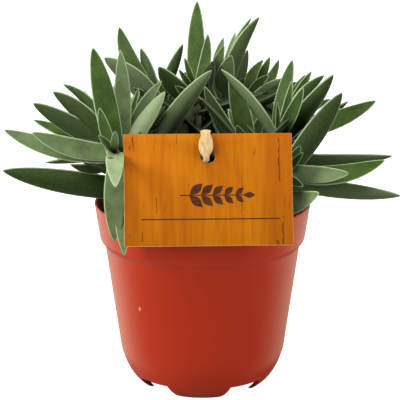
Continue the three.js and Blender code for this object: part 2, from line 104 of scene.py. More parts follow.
# Label and tie
LABEL_WIDTH = 88
LABEL_HEIGHT = 59
LABEL_THICKNESS = 1.5
LABEL_LEAN = math.radians(22)
LABEL_TURN = math.radians(2)
LABEL_X = 3
LABEL_MIDDLE_HEIGHT = 125.1
HOLE_RADIUS = 4
HOLE_DROP = 11.7
HOLE_Y = LABEL_HEIGHT / 2 - HOLE_DROP
HOLE_SIDES = 48
CARD_EDGE_ROUNDING = 0.25
CARD_EDGE_STEPS = 3
TIE_THICKNESS = 1.9
TIE_WIDTH = 7.4
TIE_TAPER = 7
TIE_SHIFT = -1.1
TIE_SLACK = 0.9
TIE_RIPPLE = 0.25
TIE_LOWEST_SHARE = 0.4
TIE_TOP_LOSS = 0.3
RING_THINNESS = 10
KNOT_RADIUS = 3.2
KNOT_STANDOFF = 2.2
TAIL_RADIUS = 1.3
TAIL_LENGTH = 16
TAIL_END_SHARE = 0.55
TAIL_STANDOFF = 3
TAIL_LIFT = 0.5
TAIL_SPREAD = 2.3

# The printed twig and ruled line, in millimetres from the card's middle
SPRIG_LENGTH = 34
SPRIG_MIDDLE = (2, -3)
SPRIG_PAIRS = 5
SPRIG_START = 5
SPRIG_SPACING = 6
SPRIG_LEAF_LENGTH = 9.5
SPRIG_SHORTENING = 0.9
SPRIG_END_LEAF = 6.5
SPRIG_LEAN = math.radians(42)
TWIG_WIDTH = 0.5
RULE_MIDDLE = (1, -15.5)
RULE_LENGTH = 72
RULE_WIDTH = 0.6
INK_LEAF_FULLNESS = 0.3
INK_LEAF_POINTEDNESS = 1.3
INK_LEAF_BREADTH = 0.8
INK_THICKNESS = 0.08

# Stems and leaves
STEM_FOOT_RADIUS = 3.2
STEM_TIP_RADIUS = 2.2
STEM_JOINT_SWELLING = 0.25
STEM_JOINT_SPACING = 26
LEAF_SEED = 7
WIDEST_POINT = 0.42
BASE_NARROWING = 0.25
TIP_FULLNESS = 0.7
TIP_SHARE = 0.015
THINNEST_OUTLINE = 0.02
MOST_TWIST = 0.12
MOST_WAVER = 0.35

# Short lower leaves: where they start on a stem and how far they may reach
LOWER_FIRST_DROP = 6
LOWER_SPACING = 5
LOWER_BARE_FOOT = 8
LOWER_LENGTH = 38
LOWER_LENGTH_SHARES = (0.75, 1.15)
LOWER_RISES = (0.15, 0.95)
LOWER_TURN = 0.3
LOWER_WIDTH = 13
LOWER_LIMIT = 74
LOWER_FRONT_REACH = 8
LOWER_TOP = 175
# Painted shade given to the inner and lower leaves, on the scale of the bloom table
INNER_SHADE = -0.7

# Studio
FLOOR_GLOW = 1.0
FLOOR_GREY = (0.5, 0.5, 0.5, 1)
WHITE = (1, 1, 1, 1)
FLOOR_SIZE = 8
FLOOR_DROP = 0.0002
LIGHT_AIM = (0, 0, 0.12)
# Name, place, side and power of each square lamp
LAMPS = (
    ("left box", (-1.1, -0.6, 0.75), 0.7, 20),
    ("right box", (1.1, -0.35, 0.5), 0.6, 9),
    ("top box", (-0.3, -0.2, 1.3), 0.7, 16))

# A shoot is a stem from the peat through a bend to its crown. Each of its leaves is the distance below the
# crown, tip, width, bow (how far the middle stands off the straight line on the upper side), the way its
# upper face looks, and for a leaf that also bends within its own plane the sweep of its middle.
# The full-grown leaves are single pieces. The heart is the younger leaves, grown in one with the stem.
SHOOTS = [
  {"name": "front_left", "root": [-22, -18], "bend": [-37, -26, 136], "crown": [-48, -42, 143],
   "leaves": [
    [3, [-58, -24, 195], 12.5, 1, [0.2, -0.9, 0.3], 0.5],
    [7, [-46, -57, 98], 12.5, 5, [-0.1, -0.9, 0.4]],
    [7, [-105, -35, 153], 11, 0, [0.1, -0.9, 0.5], -4],
    [4, [-89, -46, 154], 10.5, 0, [0.3, -0.9, 0.4], -2.5],
    [11, [-41, -60, 91], 10, 5, [-0.1, -0.9, 0.5]],
    [4, [-44, -82, 134], 9.5, 4, [0, -0.2, 1]]],
   "heart": [
    [9, [-20, -22, 171], 10, 0, [0.3, 0.8, -0.5], 0.5],
    [8, [-44, -14, 192], 9.5, 0, [0.2, -0.9, 0.4], 1],
    [2, [-54, -40, 166], 6.5, 0, [0.2, -1, 0.1], -1],
    [2, [-54, -52, 154], 4.5, 0, [0.8, -0.6, -0.2]],
    [2, [-45, -55, 157], 4.5, 0, [0, -0.7, -0.7]],
    [1, [-48, -58, 144], 5.5, 0, [0.5, 0.1, 0.8]],
    [12, [-22, -8, 174], 7.5, 1, [0.5, -0.8, 0.3], -4]]},
  {"name": "left", "root": [-26, -6], "bend": [-44, -8, 122], "crown": [-52, -14, 144],
   "leaves": [
    [36, [-109, -16, 126], 14, 0, [-0.1, 1, 0], 1],
    [6, [-93, 0, 160], 11.5, 0, [0.3, 1, 0]],
    [4, [-82, 2, 166], 11, 0, [0.3, 0.9, -0.1], -2]],
   "heart": [
    [9, [-94, 8, 149], 7.5, 0, [-0.1, -0.8, 0.6]],
    [15, [-72, -18, 130], 6.5, 0, [-0.3, 1, 0.1], 4],
    [3, [-77, 8, 169], 7, 0, [0.5, 0.8, -0.1], -6],
    [3, [-66, 16, 164], 5.5, 0, [-0.2, -0.7, 0.7]],
    [8, [-35, 14, 164], 6.5, 0, [0.2, -0.8, 0.6]],
    [14, [-35, 4, 168], 4.5, 0, [0.3, -0.9, 0.3]]]},
  {"name": "right", "root": [24, -12], "bend": [40, -20, 122], "crown": [47, -30, 131],
   "leaves": [
    [5, [98, -25, 134], 11.5, 0, [0, -0.8, 0.6], 5],
    [4, [75, -15, 169], 13, 0, [-0.3, 1, -0.1], -0.5],
    [13, [107, -28, 115], 9.5, 0, [0.1, 1, 0], -1],
    [3, [77, -42, 131], 9.5, 0, [-0.4, -0.8, 0.4], 1.5],
    [24, [61, -52, 123], 13.5, 1, [-0.8, -0.5, 0.3], 5.5]],
   "heart": [
    [2, [52, -33, 144], 5.5, 0, [-0.4, -0.9, -0.1]],
    [2, [53, -40, 142], 4, 0, [-0.6, -0.7, -0.3]],
    [8, [53, -46, 125], 5.5, 1, [-0.7, -0.3, 0.6]]]},
  {"name": "front_right", "root": [22, -4], "bend": [38, -10, 128], "crown": [41, -15, 145],
   "leaves": [
    [14, [105, -3, 131], 8, 0, [-0.1, 1, 0.1], -2],
    [4, [71, -5, 177], 10.5, 0, [-0.2, 1, 0], -1.5],
    [3, [10, -6, 180], 7.5, 0, [0.5, 0.9, 0.2], -3],
    [3, [49, 1, 184], 9, 0, [-0.3, -0.9, 0.4], -1]],
   "heart": [
    [12, [27, 18, 161], 9, 0, [-0.2, -0.7, 0.7]],
    [2, [48, -12, 175], 5, 0, [-0.2, -1, 0.1], 0.5],
    [1, [40, -19, 165], 3, 0, [0, -1, -0.2]],
    [2, [54, -16, 172], 7.5, 0, [-0.4, -0.9, 0.1], 1]]},
  {"name": "centre_right", "root": [9, -14], "bend": [24, -14, 118], "crown": [26, -18, 142],
   "leaves": [
    [5, [15, -6, 177], 11, 0, [-0.2, -1, 0.2], 0.5],
    [10, [1, -8, 171], 9, 0, [0.2, 1, -0.1], 2]],
   "heart": [
    [4, [18, -33, 155], 7, 1, [0, -0.7, -0.7]],
    [5, [33, 0, 155], 6.5, 0, [0.1, -0.8, 0.6]],
    [3, [14, 4, 156], 5.5, 0, [-0.3, -0.7, 0.7]]]},
  {"name": "centre_left", "root": [-12, -12], "bend": [-24, -8, 112], "crown": [-31, -12, 135],
   "leaves": [
    [4, [5, 7, 177], 11.5, 0, [-0.3, 0.9, -0.1], 2],
    [9, [1, 11, 159], 10, 0, [-0.4, 0.9, -0.3], 0.5]],
   "heart": [
    [10, [-51, 16, 146], 6.5, 0, [-0.3, -0.7, 0.6]],
    [4, [-28, 6, 156], 6.5, 0, [0.1, -0.8, 0.6]],
    [2, [-23, -2, 150], 4.5, 0, [0.1, -0.9, 0.4]]]},
  {"name": "top", "root": [-2, 4], "bend": [-2, 6, 136], "crown": [-4, 8, 165],
   "leaves": [
    [6, [-24, 2, 180], 12, 1, [0.1, 0.9, 0.3], 2.5],
    [2, [-3, 29, 212], 10, 0, [0, -0.9, 0.4]],
    [2, [3, 20, 195], 7, 0, [-0.1, -0.9, 0.4], 1.5]],
   "heart": [
    [1, [-10, 8, 184], 4, 0, [0.1, -1, 0]],
    [2, [-13, 4, 178], 4, 0, [0.2, -1, -0.1]],
    [8, [1, 52, 173], 7, 0, [0.1, -0.4, 0.9]],
    [5, [-15, -2, 170], 5, 0, [0.5, -0.8, -0.2]]]},
  {"name": "back_left", "root": [-12, 16], "bend": [-19, 20, 138], "crown": [-26, 24, 158],
   "leaves": [
    [4, [-55, 24, 181], 13.5, 1, [0.2, 1, 0.2], -1.5],
    [3, [-11, 40, 186], 7.5, 0, [-0.4, 0.9, -0.3]],
    [3, [-47, 38, 196], 11, 0, [0.1, -0.9, 0.4], -4]],
   "heart": [
    [3, [-35, 38, 184], 7.5, 0, [0.3, 0.9, -0.3]],
    [9, [-20, 56, 167], 6.5, 1, [0.1, -0.5, 0.9]],
    [5, [-30, 46, 172], 4.5, 0, [-0.1, -0.6, 0.8]],
    [2, [-39, 18, 165], 4.5, 0, [0.4, -0.9, 0]],
    [8, [-42, 8, 161], 5.5, 0, [0.6, -0.8, -0.1]]]},
  {"name": "top_right", "root": [6, 16], "bend": [12, 18, 136], "crown": [13, 20, 160],
   "leaves": [
    [3, [32, 36, 202], 9.5, 0, [-0.4, 0.9, -0.1], 4.5],
    [2, [16, 14, 184], 10.5, 0, [-0.2, -1, -0.2], -2],
    [6, [26, 50, 181], 8, 0, [-0.4, 0.7, -0.6], -1]],
   "heart": [
    [4, [28, 42, 201], 5.5, 0, [-0.5, 0.8, -0.3], 5],
    [3, [12, 17, 189], 7.5, 0, [0, -1, -0.1], -4.5],
    [5, [12, 38, 190], 7.5, 0, [0, -0.9, 0.5], -4],
    [5, [19, 50, 191], 6, 0, [0.1, -0.8, 0.6], -2],
    [6, [3, 8, 162], 5, 0, [0.6, -0.7, -0.3]]]},
  {"name": "high_back", "root": [16, 24], "bend": [22, 36, 128], "crown": [27, 40, 154],
   "leaves": [
    [3, [44, 50, 175], 6.5, 0, [-0.1, -0.9, 0.4], 2.5],
    [9, [31, 77, 149], 9, 1, [0.3, -0.2, 0.9]],
    [6, [48, 40, 166], 9, 0, [-0.1, 1, 0], 1.5]],
   "heart": [
    [3, [35, 50, 175], 7, 0, [0, -0.9, 0.4], -3.5],
    [4, [39, 54, 176], 6.5, 0, [0.1, -0.9, 0.5]],
    [3, [38, 40, 168], 7, 0, [-0.4, -0.9, 0.3], -2.5],
    [3, [24, 62, 162], 6, 0, [-0.2, -0.5, 0.9]]]},
  {"name": "back_right", "root": [24, 10], "bend": [40, 18, 128], "crown": [49, 22, 150],
   "leaves": [
    [12, [98, 26, 156], 11, 0, [-0.1, -0.9, 0.5], 3],
    [4, [69, 34, 169], 7.5, 0, [-0.4, 0.9, -0.1], 2]],
   "heart": [
    [3, [62, 36, 171], 5.5, 0, [0.1, -0.9, 0.5], -1],
    [4, [59, 42, 168], 5.5, 0, [0, -0.7, 0.7], -1.5],
    [7, [71, 12, 160], 5, 0, [-0.4, -0.9, 0.2]],
    [6, [48, 60, 154], 7, 0, [0, -0.2, 1]],
    [9, [69, 55, 140], 8, 1, [0.8, -0.5, 0.3]]]},
  {"name": "rear", "root": [-4, 32], "bend": [-6, 48, 120], "crown": [-8, 56, 138],
   "leaves": [
    [12, [-10, 80, 108], 12, 3, [0, 1, 0.6]],
    [6, [22, 70, 166], 12, 0, [-0.4, 0.8, 0.6]]],
   "heart": [
    [12, [-40, 75, 120], 12, 1, [0, 0.3, 1]],
    [9, [30, 77, 122], 12, 1, [0, 0.3, 1]],
    [5, [-2, 46, 182], 12, 0, [0, 1, 0.3]],
    [4, [-34, 68, 166], 12, 0, [0.4, 0.8, 0.6]],
    [2, [-14, 68, 160], 7, 0, [0, 1, 0.3]],
    [2, [-2, 70, 158], 7, 0, [0, 1, 0.3]]]},
  {"name": "rear_left", "root": [-24, 24], "bend": [-42, 36, 118], "crown": [-50, 44, 132],
   "leaves": [
    [12, [-93, 58, 112], 12.5, 1, [0, 0.2, 1]],
    [5, [-84, 40, 156], 12, 0, [0.5, 0.6, 0.9]]],
   "heart": [
    [12, [-16, 54, 158], 11, 0, [-0.5, 0.3, 0.8]],
    [8, [-60, 79, 112], 12, 2, [0, 0.6, 0.8]],
    [6, [-46, 24, 172], 12, 0, [0, 1, 0.4]],
    [4, [-32, 72, 160], 11, 0, [0, 1, 0.6]],
    [2, [-64, 52, 150], 7, 0, [0, 1, 0.3]],
    [2, [-54, 60, 150], 7, 0, [0, 1, 0.3]]]},
  {"name": "rear_right", "root": [22, 30], "bend": [42, 40, 116], "crown": [50, 50, 130],
   "leaves": [
    [12, [93, 60, 112], 12.5, 1, [0, 0.2, 1]],
    [5, [84, 44, 152], 12, 0, [-0.5, 0.6, 0.9]]],
   "heart": [
    [12, [18, 52, 156], 11, 0, [0.5, 0.3, 0.8]],
    [8, [62, 79, 114], 12, 2, [0, 0.6, 0.8]],
    [6, [48, 30, 168], 12, 0, [0, 1, 0.4]],
    [4, [34, 76, 154], 11, 0, [0, 1, 0.6]],
    [2, [63, 57, 148], 7, 0, [0, 1, 0.3]],
    [2, [54, 64, 146], 7, 0, [0, 1, 0.3]]]},
]

# Inner leaves that stand behind the others and close the plant's middle, by shoot, all darkened with painted
# shade
INNER_LEAVES = (
    ("top", [6, [6, 14, 181], 8.5, 0, [0.2, 0.9, -0.3], -0.5]),
    ("top", [12, [2, 6, 175], 8.5, 0, [0.1, -1, -0.1]]),
    ("high_back", [10, [37, 30, 160], 9, 0, [-0.1, -0.9, -0.4]]),
    ("top_right", [9, [23, 16, 171], 8, 0, [0, -1, -0.2]]),
    ("centre_left", [6, [-15, 6, 154], 8.5, 0, [-0.4, 0.8, -0.4]]),
    ("centre_right", [12, [5, 8, 150], 8, 0, [-0.2, -0.7, 0.7]]),
    ("left", [10, [-66, 4, 122], 8, 0, [-0.7, -0.7, 0.2]]))

# How thick the pale bloom lies on the leaves of a shoot, from 0 to 1, or how much painted shade darkens them,
# from 0 to -1. The full-grown leaves come first, then the heart's.
BLOOM_AND_PAINTED_SHADE = {
    "front_left": ((0, 0.35, 0.4, 0.4, 0.6, 1), (1, 0.4, 0.1, 0.2, 0.6, 0.6, 0.4)),
    "left": ((0, -0.2, -0.2), ()),
    "right": ((0, -0.25, 0.3, 0.45, 0.6), ()),
    "front_right": ((0.1, -0.1, 0.5, 0.1), ()),
    "centre_right": ((-0.35, -0.4), (0.25,)),
    "centre_left": ((0.4, 0.4), ()),
    "top": ((0, 0.05, 0.1), ()),
    "back_left": ((0.4, 0, 0.1), (0.15,)),
    "top_right": ((0.1, 0.3, 0), (0.2, 0.4, 0.5, 0.5)),
    "high_back": ((0.1, 0.2, 0.3), (0.1,)),
}


# Scene helpers

def select_only(piece):
    bpy.ops.object.select_all(action="DESELECT")
    piece.select_set(True)
    bpy.context.view_layer.objects.active = piece


def add(operator, **settings):
    """Adds a primitive with nothing else selected."""
    bpy.ops.object.select_all(action="DESELECT")
    operator(**settings)
    return bpy.context.object


def copy_of(piece):
    copied = piece.copy()
    copied.data = piece.data.copy()
    bpy.context.collection.objects.link(copied)
    return copied


def edit_all():
    bpy.ops.object.mode_set(mode="EDIT")
    bpy.ops.mesh.select_all(action="SELECT")


def stop_editing():
    bpy.ops.object.mode_set(mode="OBJECT")


def raise_ring(rise, share, height):
    """Draws the selected face up to a height, and scales it there about the Z axis."""
    bpy.ops.mesh.extrude_region_move(TRANSFORM_OT_translate={"value": (0, 0, rise)})
    bpy.ops.transform.resize(value=(share, share, 1), center_override=(0, 0, height))


def set_place(piece):
    """Puts a piece's place, turn and size into its mesh."""
    select_only(piece)
    bpy.ops.object.transform_apply(location=True, rotation=True, scale=True)


def select_where(piece, rule):
    """In edit mode, selects the vertices that the rule picks by their place."""
    bpy.ops.object.mode_set(mode="EDIT")
    bpy.ops.mesh.select_mode(type="VERT")
    bpy.ops.mesh.select_all(action="DESELECT")
    stop_editing()
    for vertex in piece.data.vertices:
        vertex.select = rule(vertex.co)
    bpy.ops.object.mode_set(mode="EDIT")


def close_and_turn_out(piece):
    """Merges doubled vertices and turns all faces outwards."""
    select_only(piece)
    edit_all()
    bpy.ops.mesh.remove_doubles(threshold=1e-6)
    bpy.ops.mesh.normals_make_consistent(inside=False)
    stop_editing()


def apply_modifier(piece, kind, **settings):
    select_only(piece)
    modifier = piece.modifiers.new(kind.lower(), kind)
    for key, value in settings.items():
        setattr(modifier, key, value)
    bpy.ops.object.modifier_apply(modifier=modifier.name)


def join(pieces, name):
    bpy.ops.object.select_all(action="DESELECT")
    for piece in pieces:
        piece.select_set(True)
    bpy.context.view_layer.objects.active = pieces[0]
    bpy.ops.object.join()
    pieces[0].name = name
    pieces[0].data.name = name
    return pieces[0]


def smooth(piece, angle=None):
    select_only(piece)
    if angle is None:
        bpy.ops.object.shade_smooth()
    else:
        bpy.ops.object.shade_smooth_by_angle(angle=math.radians(angle))


def dress(piece, *materials):
    piece.data.materials.clear()
    for material in materials:
        piece.data.materials.append(material)


def write_uv(piece, name, places):
    """Gives the piece one set of flat coordinates, from one pair per vertex, in metres."""
    while piece.data.uv_layers:
        piece.data.uv_layers.remove(piece.data.uv_layers[0])
    layer = piece.data.uv_layers.new(name=name)
    for loop in piece.data.loops:
        layer.data[loop.index].uv = places[loop.vertex_index]


def drawn_up(name, outline, sides):
    """A solid drawn up ring by ring from a filled circle. The outline holds (radius, height) pairs."""
    radius, height = outline[0]
    piece = add(bpy.ops.mesh.primitive_circle_add, vertices=sides, radius=radius * MM, fill_type="NGON",
                location=(0, 0, height * MM))
    piece.name = name
    set_place(piece)
    edit_all()
    for next_radius, next_height in outline[1:]:
        raise_ring((next_height - height) * MM, next_radius / radius, next_height * MM)
        radius, height = next_radius, next_height
    stop_editing()
    close_and_turn_out(piece)
    return piece


# Curves, in millimetres

def bezier(points, along):
    """A point on a Bezier curve of any number of points."""
    points = list(points)
    while len(points) > 1:
        points = [a.lerp(b, along) for a, b in zip(points, points[1:])]
    return points[0]


def bezier_tangent(points, along):
    step = 0.001
    low, high = max(0, along - step), min(1, along + step)
    return (bezier(points, high) - bezier(points, low)).normalized()


def outline_bezier(points, steps):
    points = [Vector(p) for p in points]
    return [tuple(bezier(points, i / steps)) for i in range(steps + 1)]


def smoothstep(value, low, high):
    share = min(1, max(0, (value - low) / (high - low)))
    return share * share * (3 - 2 * share)


# Shader helpers

def new_material(name):
    material = bpy.data.materials.new(name)
    material.use_nodes = True
    return material, material.node_tree, material.node_tree.nodes["Principled BSDF"]


def set_inputs(tree, made, inputs):
    """Links each input for which a socket is given, and sets each for which a value is given."""
    for key, value in inputs.items():
        if isinstance(value, bpy.types.NodeSocket):
            tree.links.new(value, made.inputs[key])
        else:
            made.inputs[key].default_value = value
    return made


def node(tree, kind, inputs=None, **settings):
    made = tree.nodes.new(kind)
    for key, value in settings.items():
        setattr(made, key, value)
    return set_inputs(tree, made, inputs or {})


def math_node(tree, operation, first, second=0.0):
    return node(tree, "ShaderNodeMath", {0: first, 1: second}, operation=operation).outputs[0]


def mix_colour(tree, share, first, second):
    return node(tree, "ShaderNodeMix", {0: share, 6: first, 7: second}, data_type="RGBA").outputs[2]


def ramp(tree, value, low, high, low_out=0.0, high_out=1.0):
    """A smooth step of a value from one level to another."""
    made = node(tree, "ShaderNodeMapRange", {0: value, 1: low, 2: high, 3: low_out, 4: high_out},
                interpolation_type="SMOOTHSTEP")
    return made.outputs[0]


def new_group(name, inputs, outputs):
    """A shader node group. Inputs and outputs are (name, kind) pairs."""
    group = bpy.data.node_groups.new(name, "ShaderNodeTree")
    for label, kind in inputs:
        group.interface.new_socket(label, in_out="INPUT", socket_type=kind)
    for label, kind in outputs:
        group.interface.new_socket(label, in_out="OUTPUT", socket_type=kind)
    entry = group.nodes.new("NodeGroupInput")
    leave = group.nodes.new("NodeGroupOutput")
    return group, entry, leave


def use_group(tree, group, inputs):
    return node(tree, "ShaderNodeGroup", inputs, node_tree=group)


def noise(tree, vector, scale, detail, roughness=0.5):
    return node(tree, "ShaderNodeTexNoise", {"Vector": vector, "Scale": scale, "Detail": detail,
                                             "Roughness": roughness}).outputs[0]


def make_mottle_group():
    """Two soft clouds of different size, from 0 to 1, stretched by the Mapping before it."""
    group, entry, leave = new_group(
        "mottle",
        [("Vector", "NodeSocketVector"), ("Scale", "NodeSocketFloat"), ("Fine Share", "NodeSocketFloat")],
        [("Value", "NodeSocketFloat")])
    broad = noise(group, entry.outputs["Vector"], entry.outputs["Scale"], 3.0)
    finer = math_node(group, "MULTIPLY", entry.outputs["Scale"], 6.0)
    fine = noise(group, entry.outputs["Vector"], finer, 2.0)
    both = node(group, "ShaderNodeMix", {0: entry.outputs["Fine Share"], 2: broad, 3: fine})
    group.links.new(both.outputs[0], leave.inputs["Value"])
    return group


def make_scuff_group():
    """A broken mask of light scratches and rubbed spots, kept to where the Place input is high."""
    group, entry, leave = new_group(
        "scuff",
        [("Vector", "NodeSocketVector"), ("Scale", "NodeSocketFloat"), ("Place", "NodeSocketFloat")],
        [("Mask", "NodeSocketFloat")])
    cloud = noise(group, entry.outputs["Vector"], entry.outputs["Scale"], 6.0, 0.65)
    spots = ramp(group, cloud, 0.5, 0.72)
    kept = math_node(group, "MULTIPLY", spots, entry.outputs["Place"])
    group.links.new(kept, leave.inputs["Mask"])
    return group


MOTTLE = make_mottle_group()
SCUFF = make_scuff_group()


def mottle(tree, vector, scale, fine_share):
    return use_group(tree, MOTTLE, {"Vector": vector, "Scale": scale, "Fine Share": fine_share}).outputs[0]


def parts_of(tree, vector):
    """The three parts of a vector, as sockets."""
    return node(tree, "ShaderNodeSeparateXYZ", {0: vector}).outputs


def object_vector(tree, stretch=(1, 1, 1)):
    place = tree.nodes.new("ShaderNodeTexCoord")
    mapping = node(tree, "ShaderNodeMapping", {"Vector": place.outputs["Object"], "Scale": stretch})
    return mapping.outputs[0]


def uv_vector(tree, layer, stretch=(1, 1, 1)):
    place = node(tree, "ShaderNodeUVMap", uv_map=layer)
    mapping = node(tree, "ShaderNodeMapping", {"Vector": place.outputs[0], "Scale": stretch})
    return mapping.outputs[0]


def bump(tree, shader, height, strength, distance):
    made = node(tree, "ShaderNodeBump", {"Strength": strength, "Distance": distance, "Height": height})
    tree.links.new(made.outputs[0], shader.inputs["Normal"])


# Materials

# The one short scratch on the pot: its middle, and how far it reaches each way, in metres
SCRATCH_MIDDLE = (-0.0341, -0.0375, 0.054)
SCRATCH_REACH = (0.0007, 0.004, 0.0017)


def make_pot_plastic():
    """Moulded terracotta plastic with a painted reflection that makes it paler where it turns away, with
    faint rings, a rubbed rim and a scratch.
    """
    material, tree, shader = new_material("terracotta plastic")
    deep, bright = (0.35, 0.021, 0.003, 1), (0.43, 0.029, 0.005, 1)
    # The pale colour here is a painted reflection of the bright room; the worn colour is the rubbed rim and
    # the scratch.
    painted_reflection_colour, worn = (0.62, 0.28, 0.18, 1), (0.80, 0.42, 0.32, 1)
    place = object_vector(tree)
    clouds = mottle(tree, place, scale=18.0, fine_share=0.3)
    rings = mottle(tree, object_vector(tree, (0.1, 0.1, 1)), scale=160.0, fine_share=0.3)
    grazing = node(tree, "ShaderNodeLayerWeight", {0: 0.5}).outputs["Facing"]
    normal = tree.nodes.new("ShaderNodeTexCoord").outputs["Normal"]
    slope = math_node(tree, "ABSOLUTE", parts_of(tree, normal)[2])
    # Painted reflection: pale where an upright wall turns away from view, kept off faces that look up or
    # down.
    painted_reflection_share = math_node(tree, "MULTIPLY", ramp(tree, grazing, 0.3, 0.95, 0.0, 0.6), ramp(tree, slope, 0.4, 0.2))
    colour = mix_colour(tree, painted_reflection_share, mix_colour(tree, clouds, deep, bright), painted_reflection_colour)
    rim = ramp(tree, parts_of(tree, place)[2], (POT_HEIGHT - 2) * MM, POT_HEIGHT * MM, 0.0, 0.5)
    rubbed = use_group(tree, SCUFF, {"Vector": place, "Scale": 420.0, "Place": rim}).outputs[0]
    scale = [1 / reach for reach in SCRATCH_REACH]
    shift = [-middle / reach for middle, reach in zip(SCRATCH_MIDDLE, SCRATCH_REACH)]
    reach = node(tree, "ShaderNodeMapping", {0: place, 1: shift, 3: scale}).outputs[0]
    far = node(tree, "ShaderNodeVectorMath", {0: reach}, operation="LENGTH").outputs[1]
    scratch = ramp(tree, far, 1.0, 0.5, 0.0, 0.55)
    colour = mix_colour(tree, math_node(tree, "MAXIMUM", rubbed, scratch), colour, worn)
    rough = node(tree, "ShaderNodeMapRange", {0: clouds, 3: 0.34, 4: 0.44}).outputs[0]
    set_inputs(tree, shader, {"Base Color": colour, "Roughness": rough, "Specular IOR Level": 0.12})
    grain = noise(tree, place, scale=1800.0, detail=2.0)
    relief = node(tree, "ShaderNodeMix", {0: 0.4, 2: rings, 3: grain})
    bump(tree, shader, relief.outputs[0], strength=0.12, distance=0.0002)
    return material


def make_peat_material():
    """Dark damp peat with brown fibres and paler crumbs."""
    material, tree, shader = new_material("peat")
    damp, brown, pale = (0.010, 0.006, 0.004, 1), (0.060, 0.034, 0.018, 1), (0.16, 0.10, 0.06, 1)
    place = object_vector(tree)
    clods = mottle(tree, place, scale=160.0, fine_share=0.4)
    colour = mix_colour(tree, ramp(tree, clods, 0.35, 0.7), damp, brown)
    fleck = node(tree, "ShaderNodeTexVoronoi", {"Vector": place, "Scale": 900.0}).outputs[0]
    colour = mix_colour(tree, ramp(tree, fleck, 0.16, 0.05), colour, pale)
    set_inputs(tree, shader, {"Base Color": colour, "Roughness": 0.95})
    bump(tree, shader, clods, strength=0.9, distance=0.0012)
    return material


def make_stem_material():
    """Mottled green-brown stem skin."""
    material, tree, shader = new_material("stem skin")
    clouds = mottle(tree, object_vector(tree), scale=220.0, fine_share=0.4)
    colour = mix_colour(tree, clouds, (0.055, 0.070, 0.024, 1), (0.150, 0.130, 0.055, 1))
    set_inputs(tree, shader, {"Base Color": colour, "Roughness": 0.8, "Sheen Weight": 0.3})
    bump(tree, shader, clouds, strength=0.6, distance=0.0006)
    return material


def leaf_value(tree, name):
    """A number that each leaf stores for its vertices."""
    return node(tree, "ShaderNodeAttribute", attribute_name=name).outputs["Fac"]


def make_leaf_material():
    """Velvety leaf skin: mottled green, paler where the waxy coat lies thick, darkened with painted shade
    where a leaf is set dark, a line of pale hairs along the margin, down all over.
    """
    material, tree, shader = new_material("leaf velvet")
    hair, shade = (0.36, 0.46, 0.25, 1), (0.006, 0.010, 0.003, 1)
    # The stored value is the pale bloom when above 0 and painted shade when below 0.
    bloom_and_painted_shade = leaf_value(tree, "bloom_and_painted_shade")
    dark = mix_colour(tree, bloom_and_painted_shade, (0.017, 0.040, 0.004, 1), (0.15, 0.20, 0.09, 1))
    light = mix_colour(tree, bloom_and_painted_shade, (0.046, 0.094, 0.011, 1), (0.28, 0.36, 0.19, 1))
    under = mix_colour(tree, bloom_and_painted_shade, (0.021, 0.042, 0.006, 1), (0.20, 0.26, 0.13, 1))
    place = object_vector(tree)
    clouds = mottle(tree, place, scale=90.0, fine_share=0.25)
    veins = mottle(tree, uv_vector(tree, "leaf", (1, 0.06, 1)), scale=700.0, fine_share=0.3)
    green = mix_colour(tree, ramp(tree, clouds, 0.3, 0.7), dark, light)
    green = mix_colour(tree, math_node(tree, "MULTIPLY", veins, 0.25), green, light)
    skin = mix_colour(tree, leaf_value(tree, "upper"), under, green)
    pale_base = ramp(tree, leaf_value(tree, "along"), 0.22, 0.0, 0.0, 0.35)
    skin = mix_colour(tree, pale_base, skin, light)
    # Painted shade: leaves given a negative value are darkened towards near black, and their pale margin line
    # fades with them.
    depth = ramp(tree, bloom_and_painted_shade, 0.0, -1.0)
    skin = mix_colour(tree, depth, skin, shade)
    down = noise(tree, place, scale=2600.0, detail=2.0)
    skin = mix_colour(tree, ramp(tree, down, 0.45, 0.8, 0.0, 0.14), skin, hair)
    edge = ramp(tree, leaf_value(tree, "margin_mm"), 0.7, 0.25, 0.0, 0.75)
    edge = math_node(tree, "MULTIPLY", edge, math_node(tree, "SUBTRACT", 1.0, depth))
    skin = mix_colour(tree, edge, skin, hair)
    set_inputs(tree, shader, {
        "Base Color": skin, "Roughness": 0.72, "Specular IOR Level": 0.12, "Sheen Weight": 0.08,
        "Sheen Roughness": 0.35, "Sheen Tint": (0.80, 0.92, 0.66, 1), "Subsurface Weight": 0.08,
        "Subsurface Radius": (0.001, 0.002, 0.0006)})
    relief = node(tree, "ShaderNodeMix", {0: 0.4, 2: clouds, 3: down})
    bump(tree, shader, relief.outputs[0], strength=0.35, distance=0.0003)
    return material


def make_crack_group():
    """A dark upright crack in the wood, at a place across the card and between two heights, in metres."""
    group, entry, leave = new_group(
        "crack",
        [("Vector", "NodeSocketVector"), ("Across", "NodeSocketFloat"), ("Low", "NodeSocketFloat"),
         ("High", "NodeSocketFloat"), ("Width", "NodeSocketFloat")],
        [("Mask", "NodeSocketFloat")])
    wander = noise(group, entry.outputs["Vector"], 160.0, 3.0)
    shift = math_node(group, "MULTIPLY", math_node(group, "SUBTRACT", wander, 0.5), 0.003)
    parts = parts_of(group, entry.outputs["Vector"])
    beside = math_node(group, "SUBTRACT", math_node(group, "ADD", parts[0], shift), entry.outputs["Across"])
    off = math_node(group, "DIVIDE", math_node(group, "ABSOLUTE", beside), entry.outputs["Width"])
    line = ramp(group, off, 1.0, 0.2)
    above = math_node(group, "GREATER_THAN", parts[1], entry.outputs["Low"])
    below = math_node(group, "LESS_THAN", parts[1], entry.outputs["High"])
    kept = math_node(group, "MULTIPLY", line, math_node(group, "MULTIPLY", above, below))
    broken = math_node(group, "MULTIPLY", kept, ramp(group, wander, 0.3, 0.6, 0.35, 1.0))
    group.links.new(broken, leave.inputs["Mask"])
    return group


